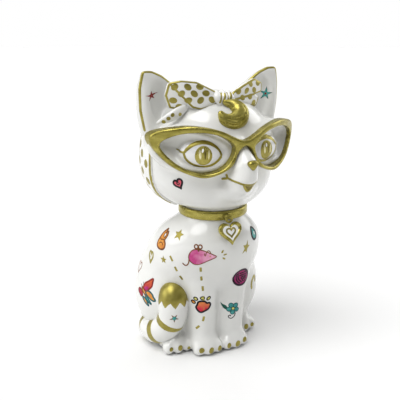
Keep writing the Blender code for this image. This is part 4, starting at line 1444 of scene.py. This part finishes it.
camera = bpy.data.objects.new("camera", bpy.data.cameras.new("camera"))
camera.location = (-0.1972, -0.3618, 0.2160)
camera.data.lens = 56.97
camera.data.sensor_width = 36
camera.data.clip_start = 0.01
aim(camera, (0, 0.009, 0.0994))
bpy.context.scene.collection.objects.link(camera)
bpy.context.scene.camera = camera
bpy.context.scene.view_settings.view_transform = "Standard"


def sun(name, direction, strength, angle):
    """A wide soft lamp far away, shining from the direction given."""
    lamp = bpy.data.lights.new(name, "SUN")
    lamp.energy = strength
    lamp.angle = math.radians(angle)
    made = bpy.data.objects.new(name, lamp)
    made.location = direction
    aim(made, (0, 0, 0))
    bpy.context.scene.collection.objects.link(made)


sun("key", (-0.5, -0.2, 1.0), 2.35, 45)
sun("left", (-1.0, 0.3, 0.45), 0.8, 40)
sun("right", (1.0, 0.1, 0.45), 0.8, 40)
sun("back", (0.2, 0.6, 1.0), 0.4, 40)

world = bpy.data.worlds.new("studio")
world.use_nodes = True
nodes, links = world.node_tree.nodes, world.node_tree.links
room = nodes["Background"]
set_inputs(room, {"Color": (1, 1, 0.985, 1)})
toward = nodes.new("ShaderNodeTexCoord")
front = nodes.new("ShaderNodeVectorMath")
front.operation = "DOT_PRODUCT"
front.inputs[1].default_value = Vector((-0.45, -0.89, 0.0))
dimmer = nodes.new("ShaderNodeMapRange")
set_inputs(dimmer, {"From Min": -0.2, "From Max": 1.0, "To Min": 0.52, "To Max": 0.12})
links.new(toward.outputs["Generated"], front.inputs[0])
links.new(front.outputs["Value"], dimmer.inputs["Value"])
links.new(dimmer.outputs["Result"], room.inputs["Strength"])
backdrop = nodes.new("ShaderNodeBackground")
set_inputs(backdrop, {"Color": (1, 1, 1, 1), "Strength": 1.0})
rays = nodes.new("ShaderNodeLightPath")
either = nodes.new("ShaderNodeMixShader")
links.new(rays.outputs["Is Camera Ray"], either.inputs["Fac"])
links.new(room.outputs["Background"], either.inputs[1])
links.new(backdrop.outputs["Background"], either.inputs[2])
links.new(either.outputs["Shader"], nodes["World Output"].inputs["Surface"])
bpy.context.scene.world = world

floor_mesh = bpy.data.meshes.new("floor")
bm = bmesh.new()
bmesh.ops.create_circle(bm, cap_ends=True, segments=96, radius=6.0)
bm.to_mesh(floor_mesh)
bm.free()
floor = bpy.data.objects.new("floor", floor_mesh)
floor.location.z = -0.0002
floor_look = bpy.data.materials.new("floor")
floor_look.use_nodes = True
set_inputs(floor_look.node_tree.nodes["Principled BSDF"],
           {"Base Color": (0.78, 0.78, 0.78, 1), "Roughness": 0.7})
floor_mesh.materials.append(floor_look)
bpy.context.scene.collection.objects.link(floor)
